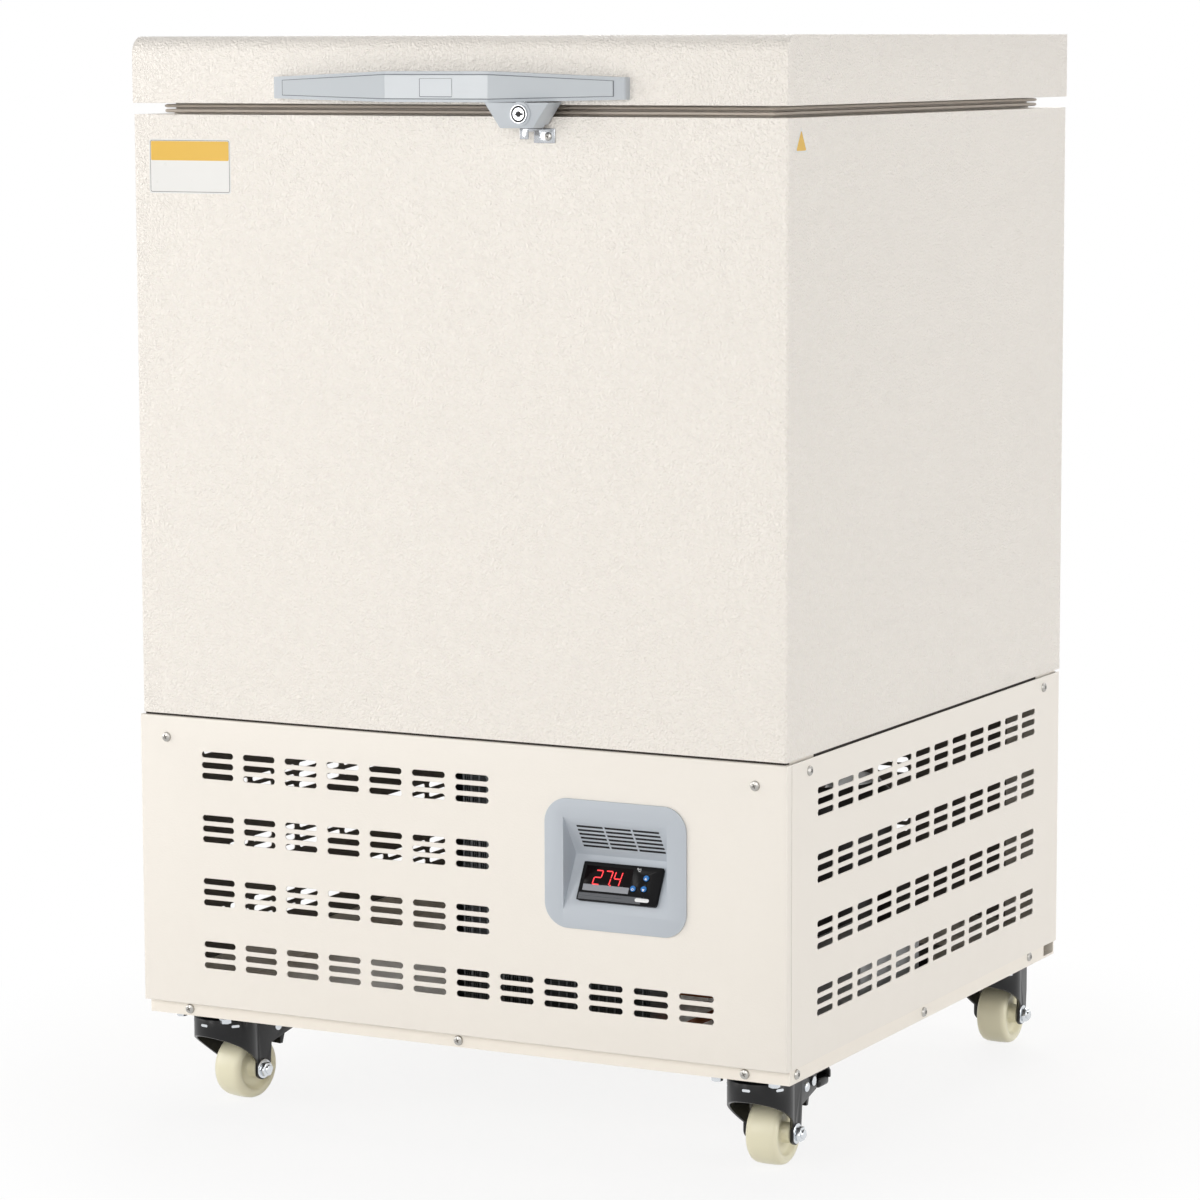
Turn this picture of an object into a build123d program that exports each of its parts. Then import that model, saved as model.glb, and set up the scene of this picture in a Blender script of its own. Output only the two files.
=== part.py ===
from build123d import *
import os
from math import hypot

# Chest ultra low temperature freezer on four swivel casters, in millimetres.
# +Z is up, the front faces -Y, and the origin is on the floor under the middle of the cabinet.
os.makedirs("parts", exist_ok=True)

# Heights of the stack, from the floor up
caster_height = 89.5
skirt_show = 12.7
base_height = 262.3
panel_gap = 2.0
cabinet_height = 535.3
seal_height = 10.0
lid_height = 58.3

# Plan sizes
cabinet_width = 640.0
cabinet_depth = 620.0
lid_overhang = 1.2
panel_side_proud = 1.8
panel_front_proud = 2.45
panel_flange = 9.0
panel_joint = 0.8
side_panel_end = 302.4
rail_depth = 28.0
rail_back = 299.0

# Sheet and walls
sheet = 1.2
frame_sheet = 2.0
shell_corner = 2.5
rest_gap = 0.3
cut = 5.0

z_tray = caster_height
z_panel = z_tray + skirt_show
z_cabinet = z_panel + base_height + panel_gap
z_mouth = z_cabinet + cabinet_height
z_lid = z_mouth + seal_height
z_top = z_lid + lid_height
half_width = cabinet_width / 2
half_depth = cabinet_depth / 2
panel_x = half_width + panel_side_proud
panel_y = -half_depth - panel_front_proud
tray_half = panel_x - sheet
tray_front = panel_y + panel_flange
tray_back = rail_back - rail_depth


def save(part, name):
    """Label a finished piece and write it as its own STEP file."""
    part.label = name
    export_step(part, f"parts/{name}.step")


def block(x0, x1, y0, y1, z0, z1):
    """A plain box between six planes, made outside any open context."""
    return Solid.make_box(x1 - x0, y1 - y0, z1 - z0).moved(Location((x0, y0, z0)))


# Cabinet
mouth_flange = 22.0
frame_thick = 8.0
tank_width = 440.0
tank_depth = 420.0
tank_height = 410.0
tank_sheet = 1.5
tank_corner = 20.0
tank_rim = 22.0
coil_tube = 8.0
coil_clearance = 0.3
coil_rings = 4
coil_pitch = 80.0
coil_first = 60.0
bevel_share = 0.58
riser_x = 110.0
foam_corner = shell_corner - sheet
z_rim = z_mouth - frame_thick
coil_room = coil_tube + 2 * coil_clearance

with BuildPart() as cabinet_shell:
    with BuildSketch(Plane.XY.offset(z_cabinet)):
        RectangleRounded(cabinet_width, cabinet_depth, shell_corner)
        RectangleRounded(cabinet_width - 2 * sheet, cabinet_depth - 2 * sheet, foam_corner,
                         mode=Mode.SUBTRACT)
    extrude(amount=cabinet_height)
    with BuildSketch(Plane.XY.offset(z_cabinet)):
        RectangleRounded(cabinet_width - sheet, cabinet_depth - sheet, foam_corner)
    extrude(amount=sheet)
    with BuildSketch(Plane.XY.offset(z_mouth - sheet)):
        RectangleRounded(cabinet_width - sheet, cabinet_depth - sheet, foam_corner)
        Rectangle(cabinet_width - 2 * mouth_flange, cabinet_depth - 2 * mouth_flange, mode=Mode.SUBTRACT)
    extrude(amount=sheet)
save(cabinet_shell.part, "cabinet_shell")

with BuildPart() as cabinet_insulation:
    with BuildSketch(Plane.XY.offset(z_cabinet + sheet)):
        RectangleRounded(cabinet_width - 2 * sheet, cabinet_depth - 2 * sheet, foam_corner)
    extrude(amount=cabinet_height - 2 * sheet)
    with BuildSketch(Plane.XY.offset(z_mouth)):
        Rectangle(cabinet_width - 2 * mouth_flange, cabinet_depth - 2 * mouth_flange)
    extrude(amount=-frame_thick, mode=Mode.SUBTRACT)
    with BuildSketch(Plane.XY.offset(z_rim)):
        Rectangle(tank_width + 2 * tank_rim, tank_depth + 2 * tank_rim)
    extrude(amount=-tank_sheet, mode=Mode.SUBTRACT)
    with BuildSketch(Plane.XY.offset(z_rim)) as pocket:
        Rectangle(tank_width + 2 * coil_room, tank_depth + 2 * coil_room)
        chamfer(pocket.vertices(), length=(tank_corner + coil_tube) * bevel_share)
    extrude(amount=-tank_height, mode=Mode.SUBTRACT)
save(cabinet_insulation.part, "cabinet_insulation")

with BuildPart() as inner_tank:
    with BuildSketch(Plane.XY.offset(z_rim - tank_height)):
        RectangleRounded(tank_width, tank_depth, tank_corner)
    extrude(amount=tank_height)
    with BuildSketch(Plane.XY.offset(z_rim - tank_sheet)):
        Rectangle(tank_width + 2 * tank_rim, tank_depth + 2 * tank_rim)
    extrude(amount=tank_sheet)
    with BuildSketch(Plane.XY.offset(z_rim - tank_height + tank_sheet)):
        RectangleRounded(tank_width - 2 * tank_sheet, tank_depth - 2 * tank_sheet, tank_corner - tank_sheet)
    extrude(amount=tank_height, mode=Mode.SUBTRACT)
save(inner_tank.part, "inner_tank")

# The evaporator is a flat-sided tube: mitred rings round the tank, joined by one riser at the back.
ring_width = tank_width + 2 * coil_clearance
ring_depth = tank_depth + 2 * coil_clearance
z_rings = [z_rim - tank_height + coil_first + i * coil_pitch for i in range(coil_rings)]
with BuildSketch() as ring_inner:
    Rectangle(ring_width, ring_depth)
    chamfer(ring_inner.vertices(), length=tank_corner * bevel_share)
with BuildSketch() as ring_outer:
    Rectangle(ring_width + 2 * coil_tube, ring_depth + 2 * coil_tube)
    chamfer(ring_outer.vertices(), length=(tank_corner + coil_tube) * bevel_share)
with BuildPart() as evaporator_coil:
    for z_ring in z_rings:
        with BuildSketch(Plane.XY.offset(z_ring)):
            add(ring_outer.sketch)
            add(ring_inner.sketch, mode=Mode.SUBTRACT)
        extrude(amount=coil_tube)
    with BuildSketch(Plane.XY.offset(z_rings[0])):
        with Locations((riser_x, (ring_depth + coil_tube) / 2)):
            Rectangle(coil_tube, coil_tube)
    extrude(amount=z_rings[-1] - z_rings[0] + coil_tube)
save(evaporator_coil.part, "evaporator_coil")

with BuildPart() as mouth_frame:
    with BuildSketch(Plane.XY.offset(z_rim)):
        Rectangle(cabinet_width - 2 * mouth_flange, cabinet_depth - 2 * mouth_flange)
        RectangleRounded(tank_width - 2 * tank_sheet, tank_depth - 2 * tank_sheet, tank_corner - tank_sheet,
                         mode=Mode.SUBTRACT)
    extrude(amount=frame_thick)
save(mouth_frame.part, "mouth_frame")

# Lid
lid_depth = cabinet_depth + 2 * lid_overhang
lid_bullnose = 15.0
lid_flange = 18.0
liner_sheet = 2.0
plug_gap = 12.0
plug_drop = 28.0
plug_taper = 4.0
plug_corner = 16.0
seal_side = 28.0
seal_front = 22.0
seal_back = 25.0
seal_width = 14.0
seal_groove = 1.6
seal_waist = 1.2
lid_front = -lid_depth / 2

with BuildPart() as lid_skin:
    with BuildSketch(Plane.XY.offset(z_lid)):
        Rectangle(cabinet_width, lid_depth)
    extrude(amount=lid_height)
    fillet(lid_skin.edges().group_by(Axis.Z)[-1].sort_by(Axis.Y)[0], radius=lid_bullnose)
    offset(amount=-sheet, openings=lid_skin.faces().sort_by(Axis.Z)[0])
    with BuildSketch(Plane.XY.offset(z_lid)):
        Rectangle(cabinet_width - sheet, lid_depth - sheet)
        Rectangle(cabinet_width - 2 * lid_flange, lid_depth - 2 * lid_flange, mode=Mode.SUBTRACT)
    extrude(amount=sheet)
save(lid_skin.part, "lid_skin")


def plug_solid(inset, depth):
    """The tapered plug under the lid, with bevelled corners and smaller by inset on each side."""
    width = tank_width - 2 * (tank_sheet + plug_gap + inset)
    length = tank_depth - 2 * (tank_sheet + plug_gap + inset)
    with BuildPart() as plug:
        with BuildSketch(Plane.XY.offset(z_lid)) as plan:
            Rectangle(width, length)
            chamfer(plan.vertices(), length=plug_corner - inset)
        extrude(amount=-depth, taper=plug_taper)
    return plug.part


plug_core = plug_solid(liner_sheet, plug_drop - liner_sheet)
core_width = tank_width - 2 * (tank_sheet + plug_gap + liner_sheet)
core_length = tank_depth - 2 * (tank_sheet + plug_gap + liner_sheet)
with BuildSketch() as core_plan:
    Rectangle(core_width, core_length)
    chamfer(core_plan.vertices(), length=plug_corner - liner_sheet)

with BuildPart() as lid_liner:
    with BuildSketch(Plane.XY.offset(z_lid)):
        Rectangle(cabinet_width - 2 * lid_flange, lid_depth - 2 * lid_flange)
        add(core_plan.sketch, mode=Mode.SUBTRACT)
    extrude(amount=liner_sheet)
    add(plug_solid(0, plug_drop))
    add(plug_core, mode=Mode.SUBTRACT)
save(lid_liner.part, "lid_liner")

with BuildPart() as lid_insulation:
    with BuildSketch(Plane.XY.offset(z_lid + sheet)):
        Rectangle(cabinet_width - 2 * sheet, lid_depth - 2 * sheet)
    extrude(amount=lid_height - 2 * sheet)
    fillet(lid_insulation.edges().group_by(Axis.Z)[-1].sort_by(Axis.Y)[0], radius=lid_bullnose - sheet)
    with BuildSketch(Plane.XY.offset(z_lid)):
        Rectangle(cabinet_width - 2 * lid_flange, lid_depth - 2 * lid_flange)
        add(core_plan.sketch, mode=Mode.SUBTRACT)
    extrude(amount=liner_sheet, mode=Mode.SUBTRACT)
    with BuildSketch(Plane.XY.offset(z_lid)):
        add(core_plan.sketch)
    extrude(amount=liner_sheet)
    add(plug_core)
save(lid_insulation.part, "lid_insulation")

# The seal has two stacked lobes with a waist between them.
seal_half = half_width - seal_side
seal_y0 = -half_depth + seal_front
seal_y1 = half_depth - seal_back
seal_tall = seal_height - rest_gap
lobe = (seal_tall - seal_groove) / 2
with BuildPart() as lid_gasket:
    for level, tall, tuck in ((0, lobe, seal_waist), (lobe, seal_groove, 2 * seal_waist),
                              (lobe + seal_groove, lobe, 0)):
        with BuildSketch(Plane.XY.offset(z_mouth + rest_gap + level)):
            with Locations((0, (seal_y0 + seal_y1) / 2)):
                Rectangle(2 * (seal_half - tuck), seal_y1 - seal_y0 - 2 * tuck)
                Rectangle(2 * (seal_half - seal_width + tuck), seal_y1 - seal_y0 - 2 * (seal_width - tuck),
                          mode=Mode.SUBTRACT)
        extrude(amount=tall)
save(lid_gasket.part, "lid_gasket")

# Handle across the lid's front, bowed in plan and taller in the middle
handle_length = 344.0
handle_shift = 3.0
handle_end_depth = 8.0
handle_depth = 24.0
handle_face = 100.0
handle_base = 2.2
handle_middle_height = 26.0
handle_end_base = 4.7
handle_end_height = 18.5
handle_wall = 2.5
handle_corner = 3.0
grip_left = 110.0
grip_right = 42.0
fascia_thick = 0.8
fascia_end = 11.0
fascia_edge = 3.0
handle_half = handle_length / 2
face_half = handle_face / 2
z_handle = z_lid + handle_base


def handle_plan(inset):
    """Points of the handle's plan outline, in from the front and the ends by inset."""
    return [
        (handle_shift - handle_half + inset, lid_front),
        (handle_shift - handle_half + inset, lid_front - handle_end_depth + inset),
        (handle_shift - face_half, lid_front - handle_depth + inset),
        (handle_shift + face_half, lid_front - handle_depth + inset),
        (handle_shift + handle_half - inset, lid_front - handle_end_depth + inset),
        (handle_shift + handle_half - inset, lid_front),
    ]


def handle_elevation(inset):
    """Points of the handle's front outline, in from every edge by inset."""
    left = handle_shift - handle_half + inset
    right = handle_shift + handle_half - inset
    return [
        (left, z_lid + handle_end_base + inset),
        (handle_shift - face_half, z_handle + inset),
        (handle_shift + face_half, z_handle + inset),
        (right, z_lid + handle_end_base + inset),
        (right, z_lid + handle_end_base + handle_end_height - inset),
        (handle_shift + face_half, z_handle + handle_middle_height - inset),
        (handle_shift - face_half, z_handle + handle_middle_height - inset),
        (left, z_lid + handle_end_base + handle_end_height - inset),
    ]


def handle_solid(plan_inset, edge_inset):
    """The handle's bowed and tapered form, as one solid."""
    with BuildPart() as form:
        with BuildSketch(Plane.XY.offset(z_lid)):
            with BuildLine():
                Polyline(*handle_plan(plan_inset), close=True)
            make_face()
        extrude(amount=lid_height)
        with BuildSketch(Plane.XZ):
            with BuildLine():
                Polyline(*handle_elevation(edge_inset), close=True)
            make_face()
        extrude(amount=cabinet_depth, mode=Mode.INTERSECT)
    return form.part


# Lock housing and lock, under the handle
housing_x = 81.0
housing_top = 61.0
housing_bottom = 31.0
housing_drop = 21.3
housing_depth = 26.0
housing_plate = 19.0
housing_back = 2.0
lock_x = 84.5
lock_drop = 7.3
lock_radius = 8.0
lock_fit = 0.05
lock_rim = 2.2
lock_proud = 1.5
boss_proud = 1.2
key_wide = 2.0
key_tall = 9.0
key_deep = 3.0
cam_thick = 2.5
cam_gap = 2.0
cam_hub = 6.0
cam_reach = 20.0
cam_toe = 3.4
cam_start = 114.0
cam_arm_span = 20.0
cam_span = 91.0
z_housing = z_handle - housing_drop
z_lock = z_lid - lock_drop
housing_front = lid_front - housing_depth
housing_inner = housing_front + housing_plate
cam_pocket = cam_reach + cam_gap
handle_slope = (handle_depth - handle_end_depth) / (handle_half - face_half)
grip_front = lid_front - handle_depth + handle_wall + (grip_left - face_half) * handle_slope
z_handle_middle = z_handle + handle_middle_height / 2

with BuildPart() as handle_body:
    add(handle_solid(0, 0))
    fillet(handle_body.edges().filter_by(Axis.Z).filter_by(
        lambda e: e.center().Y < lid_front - handle_end_depth / 2
        and abs(e.center().X - handle_shift) > face_half + handle_corner), radius=handle_corner)
    add(handle_solid(handle_wall, handle_wall), mode=Mode.SUBTRACT)
    add(block(handle_shift - grip_left, handle_shift + grip_right, grip_front, lid_front + cut,
              z_handle - cut, z_handle_middle), mode=Mode.SUBTRACT)
    add(block(lock_x - cam_pocket, lock_x + cam_hub + cam_gap, housing_inner, lid_front + cut,
              z_handle - cut, z_handle_middle), mode=Mode.SUBTRACT)
save(handle_body.part, "handle_body")

with BuildPart() as handle_fascia:
    with BuildSketch(Plane.XY.offset(z_lid)):
        with BuildLine():
            front = handle_plan(0)[1:5]
            Polyline(*[(x, y - fascia_thick) for x, y in front], *reversed(front), close=True)
        make_face()
    extrude(amount=lid_height)
    with BuildSketch(Plane.XZ):
        with BuildLine():
            Polyline(*[(min(max(x, handle_shift - handle_half + fascia_end),
                            handle_shift + handle_half - fascia_end), z)
                       for x, z in handle_elevation(fascia_edge)], close=True)
        make_face()
    extrude(amount=cabinet_depth, mode=Mode.INTERSECT)
save(handle_fascia.part, "handle_fascia")


def housing_outline(inset, drop):
    """Points of the lock housing's front outline, in by inset and longer by drop."""
    return [
        (housing_x - housing_top / 2 + inset, z_handle),
        (housing_x - housing_bottom / 2 + inset, z_housing - drop),
        (housing_x + housing_bottom / 2 - inset, z_housing - drop),
        (housing_x + housing_top / 2 - inset, z_handle),
    ]


with BuildPart() as lock_housing:
    with BuildSketch(Plane.XZ.offset(-lid_front + housing_back)):
        with BuildLine():
            Polyline(*housing_outline(0, 0), close=True)
        make_face()
    extrude(amount=housing_depth - housing_back)
    with BuildSketch(Plane.XZ.offset(-housing_front)):
        with Locations((lock_x, z_lock)):
            Circle(lock_radius + lock_rim)
    extrude(amount=boss_proud)
    with BuildSketch(Plane.XZ.offset(-housing_inner)):
        with BuildLine():
            Polyline(*housing_outline(handle_wall, cut), close=True)
        make_face()
    extrude(amount=-housing_depth, mode=Mode.SUBTRACT)
    with Locations(Plane.XZ.offset(-housing_front) * Pos(lock_x, z_lock)):
        Hole(lock_radius)
save(lock_housing.part, "lock_housing")

with BuildPart() as lock_plug:
    with BuildSketch(Plane.XZ.offset(-housing_inner)):
        with Locations((lock_x, z_lock)):
            Circle(lock_radius - lock_fit)
    extrude(amount=housing_plate + boss_proud + lock_proud)
    add(block(lock_x - key_wide / 2, lock_x + key_wide / 2, housing_front - cut, housing_front + key_deep,
              z_lock - key_tall / 2, z_lock + key_tall / 2), mode=Mode.SUBTRACT)
save(lock_plug.part, "lock_plug")

cam_plane = Plane(origin=(lock_x, housing_inner, z_lock), x_dir=(1, 0, 0), z_dir=(0, -1, 0))
with BuildPart() as lock_cam:
    with BuildSketch(cam_plane):
        Circle(cam_hub)
        with BuildLine():
            outer = CenterArc((0, 0), cam_reach, cam_start, cam_span)
            inner = CenterArc((0, 0), cam_reach - cam_toe, cam_start, cam_span)
            Line(outer @ 0, inner @ 0)
            Line(outer @ 1, inner @ 1)
        make_face()
        with BuildLine():
            arm = CenterArc((0, 0), cam_reach, cam_start, cam_arm_span)
            Line(arm @ 1, (0, 0))
            Line((0, 0), arm @ 0)
        make_face()
    extrude(amount=-cam_thick)
save(lock_cam.part, "lock_cam")

# Keeper on the cabinet's front, under the lock
strike_plate_x = (84.0, 104.0)
strike_drop = (19.6, 32.0)
strike_sheet = 1.5
hook_x = (76.0, 92.0)
hook_lip_right = 84.0
hook_reach = 12.0
hook_lip = 9.0
z_strike_top = z_lid - strike_drop[0]
z_strike_low = z_lid - strike_drop[1]
strike_face = -half_depth
with BuildPart() as strike_plate:
    add(block(*strike_plate_x, strike_face - strike_sheet, strike_face, z_strike_low, z_strike_top))
    add(block(hook_x[0], hook_x[1], strike_face - strike_sheet, strike_face,
              z_strike_top - 2 * strike_sheet, z_strike_top))
    add(block(*hook_x, strike_face - hook_reach, strike_face, z_strike_top - strike_sheet, z_strike_top))
    add(block(hook_x[0], hook_lip_right, strike_face - hook_reach, strike_face - hook_reach + strike_sheet,
              z_strike_top - hook_lip, z_strike_top))
save(strike_plate.part, "strike_plate")

# Two hinges behind the cabinet: a bracket with two ears, a pin, and an arm on the lid
hinge_spread = 400.0
hinge_y = 12.0
hinge_drop = 5.3
hinge_eye = 8.0
hinge_pin = 4.0
pin_fit = 0.05
ear_thick = 4.0
ear_gap = 24.0
knuckle = 23.0
hinge_plate = 3.0
base_plate_width = 56.0
base_plate_height = 62.0
arm_plate_width = 44.0
arm_plate_height = 34.0
pin_head = 7.0
pin_head_sides = 6
pin_head_thick = 2.0
ear_root = 20.0
arm_root = 11.0
axis_y = half_depth + hinge_y
axis_z = z_lid - hinge_drop
lid_back = lid_depth / 2
hinge_places = (-hinge_spread / 2, hinge_spread / 2)


def eye_plate(x0, thick, back, z_plate, reach):
    """An ear in the YZ plane: a round eye on the hinge axis, run into a plate on the face at back."""
    with BuildPart() as ear:
        with BuildSketch(Plane.YZ.offset(x0)):
            with Locations((axis_y, axis_z)):
                Circle(hinge_eye)
            with BuildLine():
                Polyline((back, z_plate), (back, z_plate + reach), (axis_y + hinge_eye, axis_z),
                         (axis_y - hinge_eye, axis_z), close=True)
            make_face()
        extrude(amount=thick)
    return ear.part


with BuildPart() as hinge_bases:
    for x in hinge_places:
        add(block(x - base_plate_width / 2, x + base_plate_width / 2, half_depth, half_depth + hinge_plate,
                  z_mouth - base_plate_height, z_mouth - frame_sheet))
        for x0 in (x - ear_gap / 2 - ear_thick, x + ear_gap / 2):
            add(eye_plate(x0, ear_thick, half_depth + hinge_plate, z_mouth - base_plate_height / 2, -ear_root))
    with Locations(*[Plane.YZ.offset(x) * Pos(axis_y, axis_z) for x in hinge_places]):
        Cylinder(hinge_pin + pin_fit, base_plate_width, mode=Mode.SUBTRACT)
save(hinge_bases.part, "hinge_bases")

with BuildPart() as hinge_pins:
    pin_length = ear_gap + 2 * ear_thick
    with Locations(*[Plane.YZ.offset(x) * Pos(axis_y, axis_z) for x in hinge_places]):
        Cylinder(hinge_pin, pin_length)
    for x in hinge_places:
        for end in (-1, 1):
            with BuildSketch(Plane.YZ.offset(x + end * pin_length / 2)):
                with Locations((axis_y, axis_z)):
                    RegularPolygon(pin_head, pin_head_sides)
            extrude(amount=end * pin_head_thick)
save(hinge_pins.part, "hinge_pins")

with BuildPart() as hinge_arms:
    for x in hinge_places:
        add(block(x - arm_plate_width / 2, x + arm_plate_width / 2, lid_back, lid_back + hinge_plate,
                  z_lid + hinge_plate, z_lid + hinge_plate + arm_plate_height))
        add(eye_plate(x - knuckle / 2, knuckle, lid_back + hinge_plate / 2, z_lid + hinge_plate + hinge_eye,
                      arm_root))
    with Locations(*[Plane.YZ.offset(x) * Pos(axis_y, axis_z) for x in hinge_places]):
        Cylinder(hinge_pin + pin_fit, arm_plate_width, mode=Mode.SUBTRACT)
save(hinge_arms.part, "hinge_arms")

# Base: tray, rear rail, corner posts and slotted panels
tray_lip = 30.0
post_leg = 48.0
slot_length = 33.0
slot_width = 5.6
slot_pitch = 9.65
slot_group_pitch = 57.7
slot_rows = 4
slots_per_group = 3
slot_columns = 12
short_columns = 7
front_pitch = 43.4
front_shift = -1.5
front_slot_base = 47.3
side_pitch = 41.8
side_shift = -4.5
side_slot_base = 49.5
rear_columns = 8

with BuildPart() as base_tray:
    add(block(-tray_half, tray_half, tray_front, tray_back, z_tray, z_tray + tray_lip))
    offset(amount=-frame_sheet, openings=base_tray.faces().sort_by(Axis.Z)[-1])
save(base_tray.part, "base_tray")

with BuildPart() as rear_rail:
    add(block(-tray_half, tray_half, tray_back, rail_back, z_tray, z_tray + tray_lip))
    offset(amount=-frame_sheet, openings=[rear_rail.faces().sort_by(Axis.X)[0],
                                          rear_rail.faces().sort_by(Axis.X)[-1]])
save(rear_rail.part, "rear_rail")

# Power switch place, needed by the post and the panel it passes through
switch_wide = 15.0
switch_tall = 21.0
switch_bezel = 2.0
switch_body_wide = 12.8
switch_body_tall = 19.0
switch_body_deep = 18.0
switch_edge = 3.0
switch_height = 164.3
switch_y = tray_front + panel_joint + switch_edge + switch_wide / 2
switch_z = z_panel + switch_height
hole_fit = 0.3
switch_hole = block(-panel_x - cut, -panel_x + 2 * cut,
                    switch_y - switch_body_wide / 2 - hole_fit, switch_y + switch_body_wide / 2 + hole_fit,
                    switch_z - switch_body_tall / 2 - hole_fit, switch_z + switch_body_tall / 2 + hole_fit)

post_x = tray_half - frame_sheet
with BuildPart() as corner_posts:
    for side in (-1, 1):
        for y_outer, inward, z_foot in ((tray_front + frame_sheet, 1, z_tray + frame_sheet),
                                        (rail_back, -1, z_tray + tray_lip)):
            x0, x1 = sorted((side * post_x, side * (post_x - post_leg)))
            y0, y1 = sorted((y_outer, y_outer + inward * frame_sheet))
            add(block(x0, x1, y0, y1, z_foot, z_cabinet))
            x0, x1 = sorted((side * post_x, side * (post_x - frame_sheet)))
            y0, y1 = sorted((y_outer, y_outer + inward * post_leg))
            add(block(x0, x1, y0, y1, z_foot, z_cabinet))
    add(switch_hole, mode=Mode.SUBTRACT)
save(corner_posts.part, "corner_posts")


def slot_field(columns, first, pitch, shift, z_base, rows):
    """Centres of the slots: columns from number first, in rows of groups of three."""
    return [
        (shift + (first + column - (slot_columns - 1) / 2) * pitch,
         z_base + row * slot_group_pitch + (line - (slots_per_group - 1) / 2) * slot_pitch)
        for row in rows for line in range(slots_per_group) for column in range(columns)
    ]


bezel_side = 161.3
bezel_height_up = 163.0
bezel_width = 136.0
bezel_height = 113.0
bezel_corner = 22.0
bezel_flange = 2.0
bezel_wall = 2.5
recess_width = 99.5
recess_upper = 36.0
recess_lower = 45.0
recess_depth = 24.0
grille_rows = 6
grille_columns = 3
grille_slot = (25.0, 2.2)
grille_pitch = (27.0, 4.6)
bezel_x = panel_x - bezel_side
bezel_z = z_panel + bezel_height_up
z_recess_top = bezel_z + (recess_upper + recess_lower) / 2
z_valley = z_recess_top - recess_upper
z_recess_low = z_valley - recess_lower
bezel_face = panel_y - bezel_flange
valley_y = bezel_face + recess_depth
tub_width = recess_width + 2 * bezel_wall

with BuildPart() as front_panel:
    add(block(-panel_x, panel_x, panel_y, tray_front, z_panel, z_panel + base_height))
    chamfer(front_panel.faces().sort_by(Axis.Y)[0].edges(), length=sheet)
    offset(amount=-sheet, openings=front_panel.faces().sort_by(Axis.Y)[-1])
    with BuildSketch(Plane.XZ.offset(-panel_y)):
        places = slot_field(slot_columns, 0, front_pitch, front_shift, z_panel + front_slot_base, [0])
        places += slot_field(short_columns, 0, front_pitch, front_shift, z_panel + front_slot_base,
                             range(1, slot_rows))
        with Locations(*places):
            Rectangle(slot_length, slot_width)
        with Locations((bezel_x, bezel_z)):
            Rectangle(tub_width + 2 * hole_fit, z_recess_top - z_recess_low + 2 * (bezel_wall + hole_fit))
    extrude(amount=-sheet - hole_fit, mode=Mode.SUBTRACT)
save(front_panel.part, "front_panel")

# The left and rear panels have their top group of slots here, and the groups below it in scene.py.
side_y0 = tray_front + panel_joint
top_row = slot_rows - 1
for name, side, first_row in (("left_panel", -1, top_row), ("right_panel", 1, 0)):
    with BuildPart() as side_panel:
        x0, x1 = sorted((side * tray_half, side * panel_x))
        add(block(x0, x1, side_y0, side_panel_end, z_panel, z_panel + base_height))
        with BuildSketch(Plane.YZ.offset(side * panel_x)):
            with Locations(*slot_field(slot_columns, 0, side_pitch, side_shift, z_panel + side_slot_base,
                                       range(first_row, slot_rows))):
                Rectangle(slot_length, slot_width)
        extrude(amount=-side * sheet, mode=Mode.SUBTRACT)
        if side < 0:
            add(switch_hole, mode=Mode.SUBTRACT)
    save(side_panel.part, name)

inlet_side = 71.8
inlet_up = 45.0
inlet_flange = (48.0, 28.0, 3.0)
inlet_body = (38.0, 21.0, 22.0)
inlet_socket = (24.0, 16.0, 15.0)
inlet_blade = (2.0, 4.0, 11.0)
inlet_pitch = 7.0
inlet_x = inlet_side - panel_x
inlet_z = z_panel + inlet_up
rear_face = rail_back + sheet
with BuildPart() as rear_panel:
    add(block(-tray_half, tray_half, rail_back, rear_face, z_panel, z_panel + base_height))
    with BuildSketch(Plane.XZ.offset(-rear_face)):
        with Locations(*slot_field(rear_columns, (slot_columns - rear_columns) / 2, front_pitch, front_shift,
                                   z_panel + side_slot_base, [top_row])):
            Rectangle(slot_length, slot_width)
        with Locations((inlet_x, inlet_z)):
            Rectangle(inlet_body[0] + 2 * hole_fit, inlet_body[1] + 2 * hole_fit)
    extrude(amount=sheet, mode=Mode.SUBTRACT)
save(rear_panel.part, "rear_panel")

with BuildPart() as power_inlet:
    add(block(inlet_x - inlet_flange[0] / 2, inlet_x + inlet_flange[0] / 2, rear_face,
              rear_face + inlet_flange[2], inlet_z - inlet_flange[1] / 2, inlet_z + inlet_flange[1] / 2))
    add(block(inlet_x - inlet_body[0] / 2, inlet_x + inlet_body[0] / 2, rear_face - inlet_body[2], rear_face,
              inlet_z - inlet_body[1] / 2, inlet_z + inlet_body[1] / 2))
    add(block(inlet_x - inlet_socket[0] / 2, inlet_x + inlet_socket[0] / 2,
              rear_face + inlet_flange[2] - inlet_socket[2], rear_face + inlet_flange[2] + cut,
              inlet_z - inlet_socket[1] / 2, inlet_z + inlet_socket[1] / 2), mode=Mode.SUBTRACT)
    for step, lift in ((-1, -1), (0, 1), (1, -1)):
        x = inlet_x + step * inlet_pitch
        z = inlet_z + lift * inlet_blade[1] / 2
        add(block(x - inlet_blade[0] / 2, x + inlet_blade[0] / 2,
                  rear_face + inlet_flange[2] - inlet_socket[2],
                  rear_face + inlet_flange[2] - inlet_socket[2] + inlet_blade[2],
                  z - inlet_blade[1] / 2, z + inlet_blade[1] / 2))
save(power_inlet.part, "power_inlet")

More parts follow.
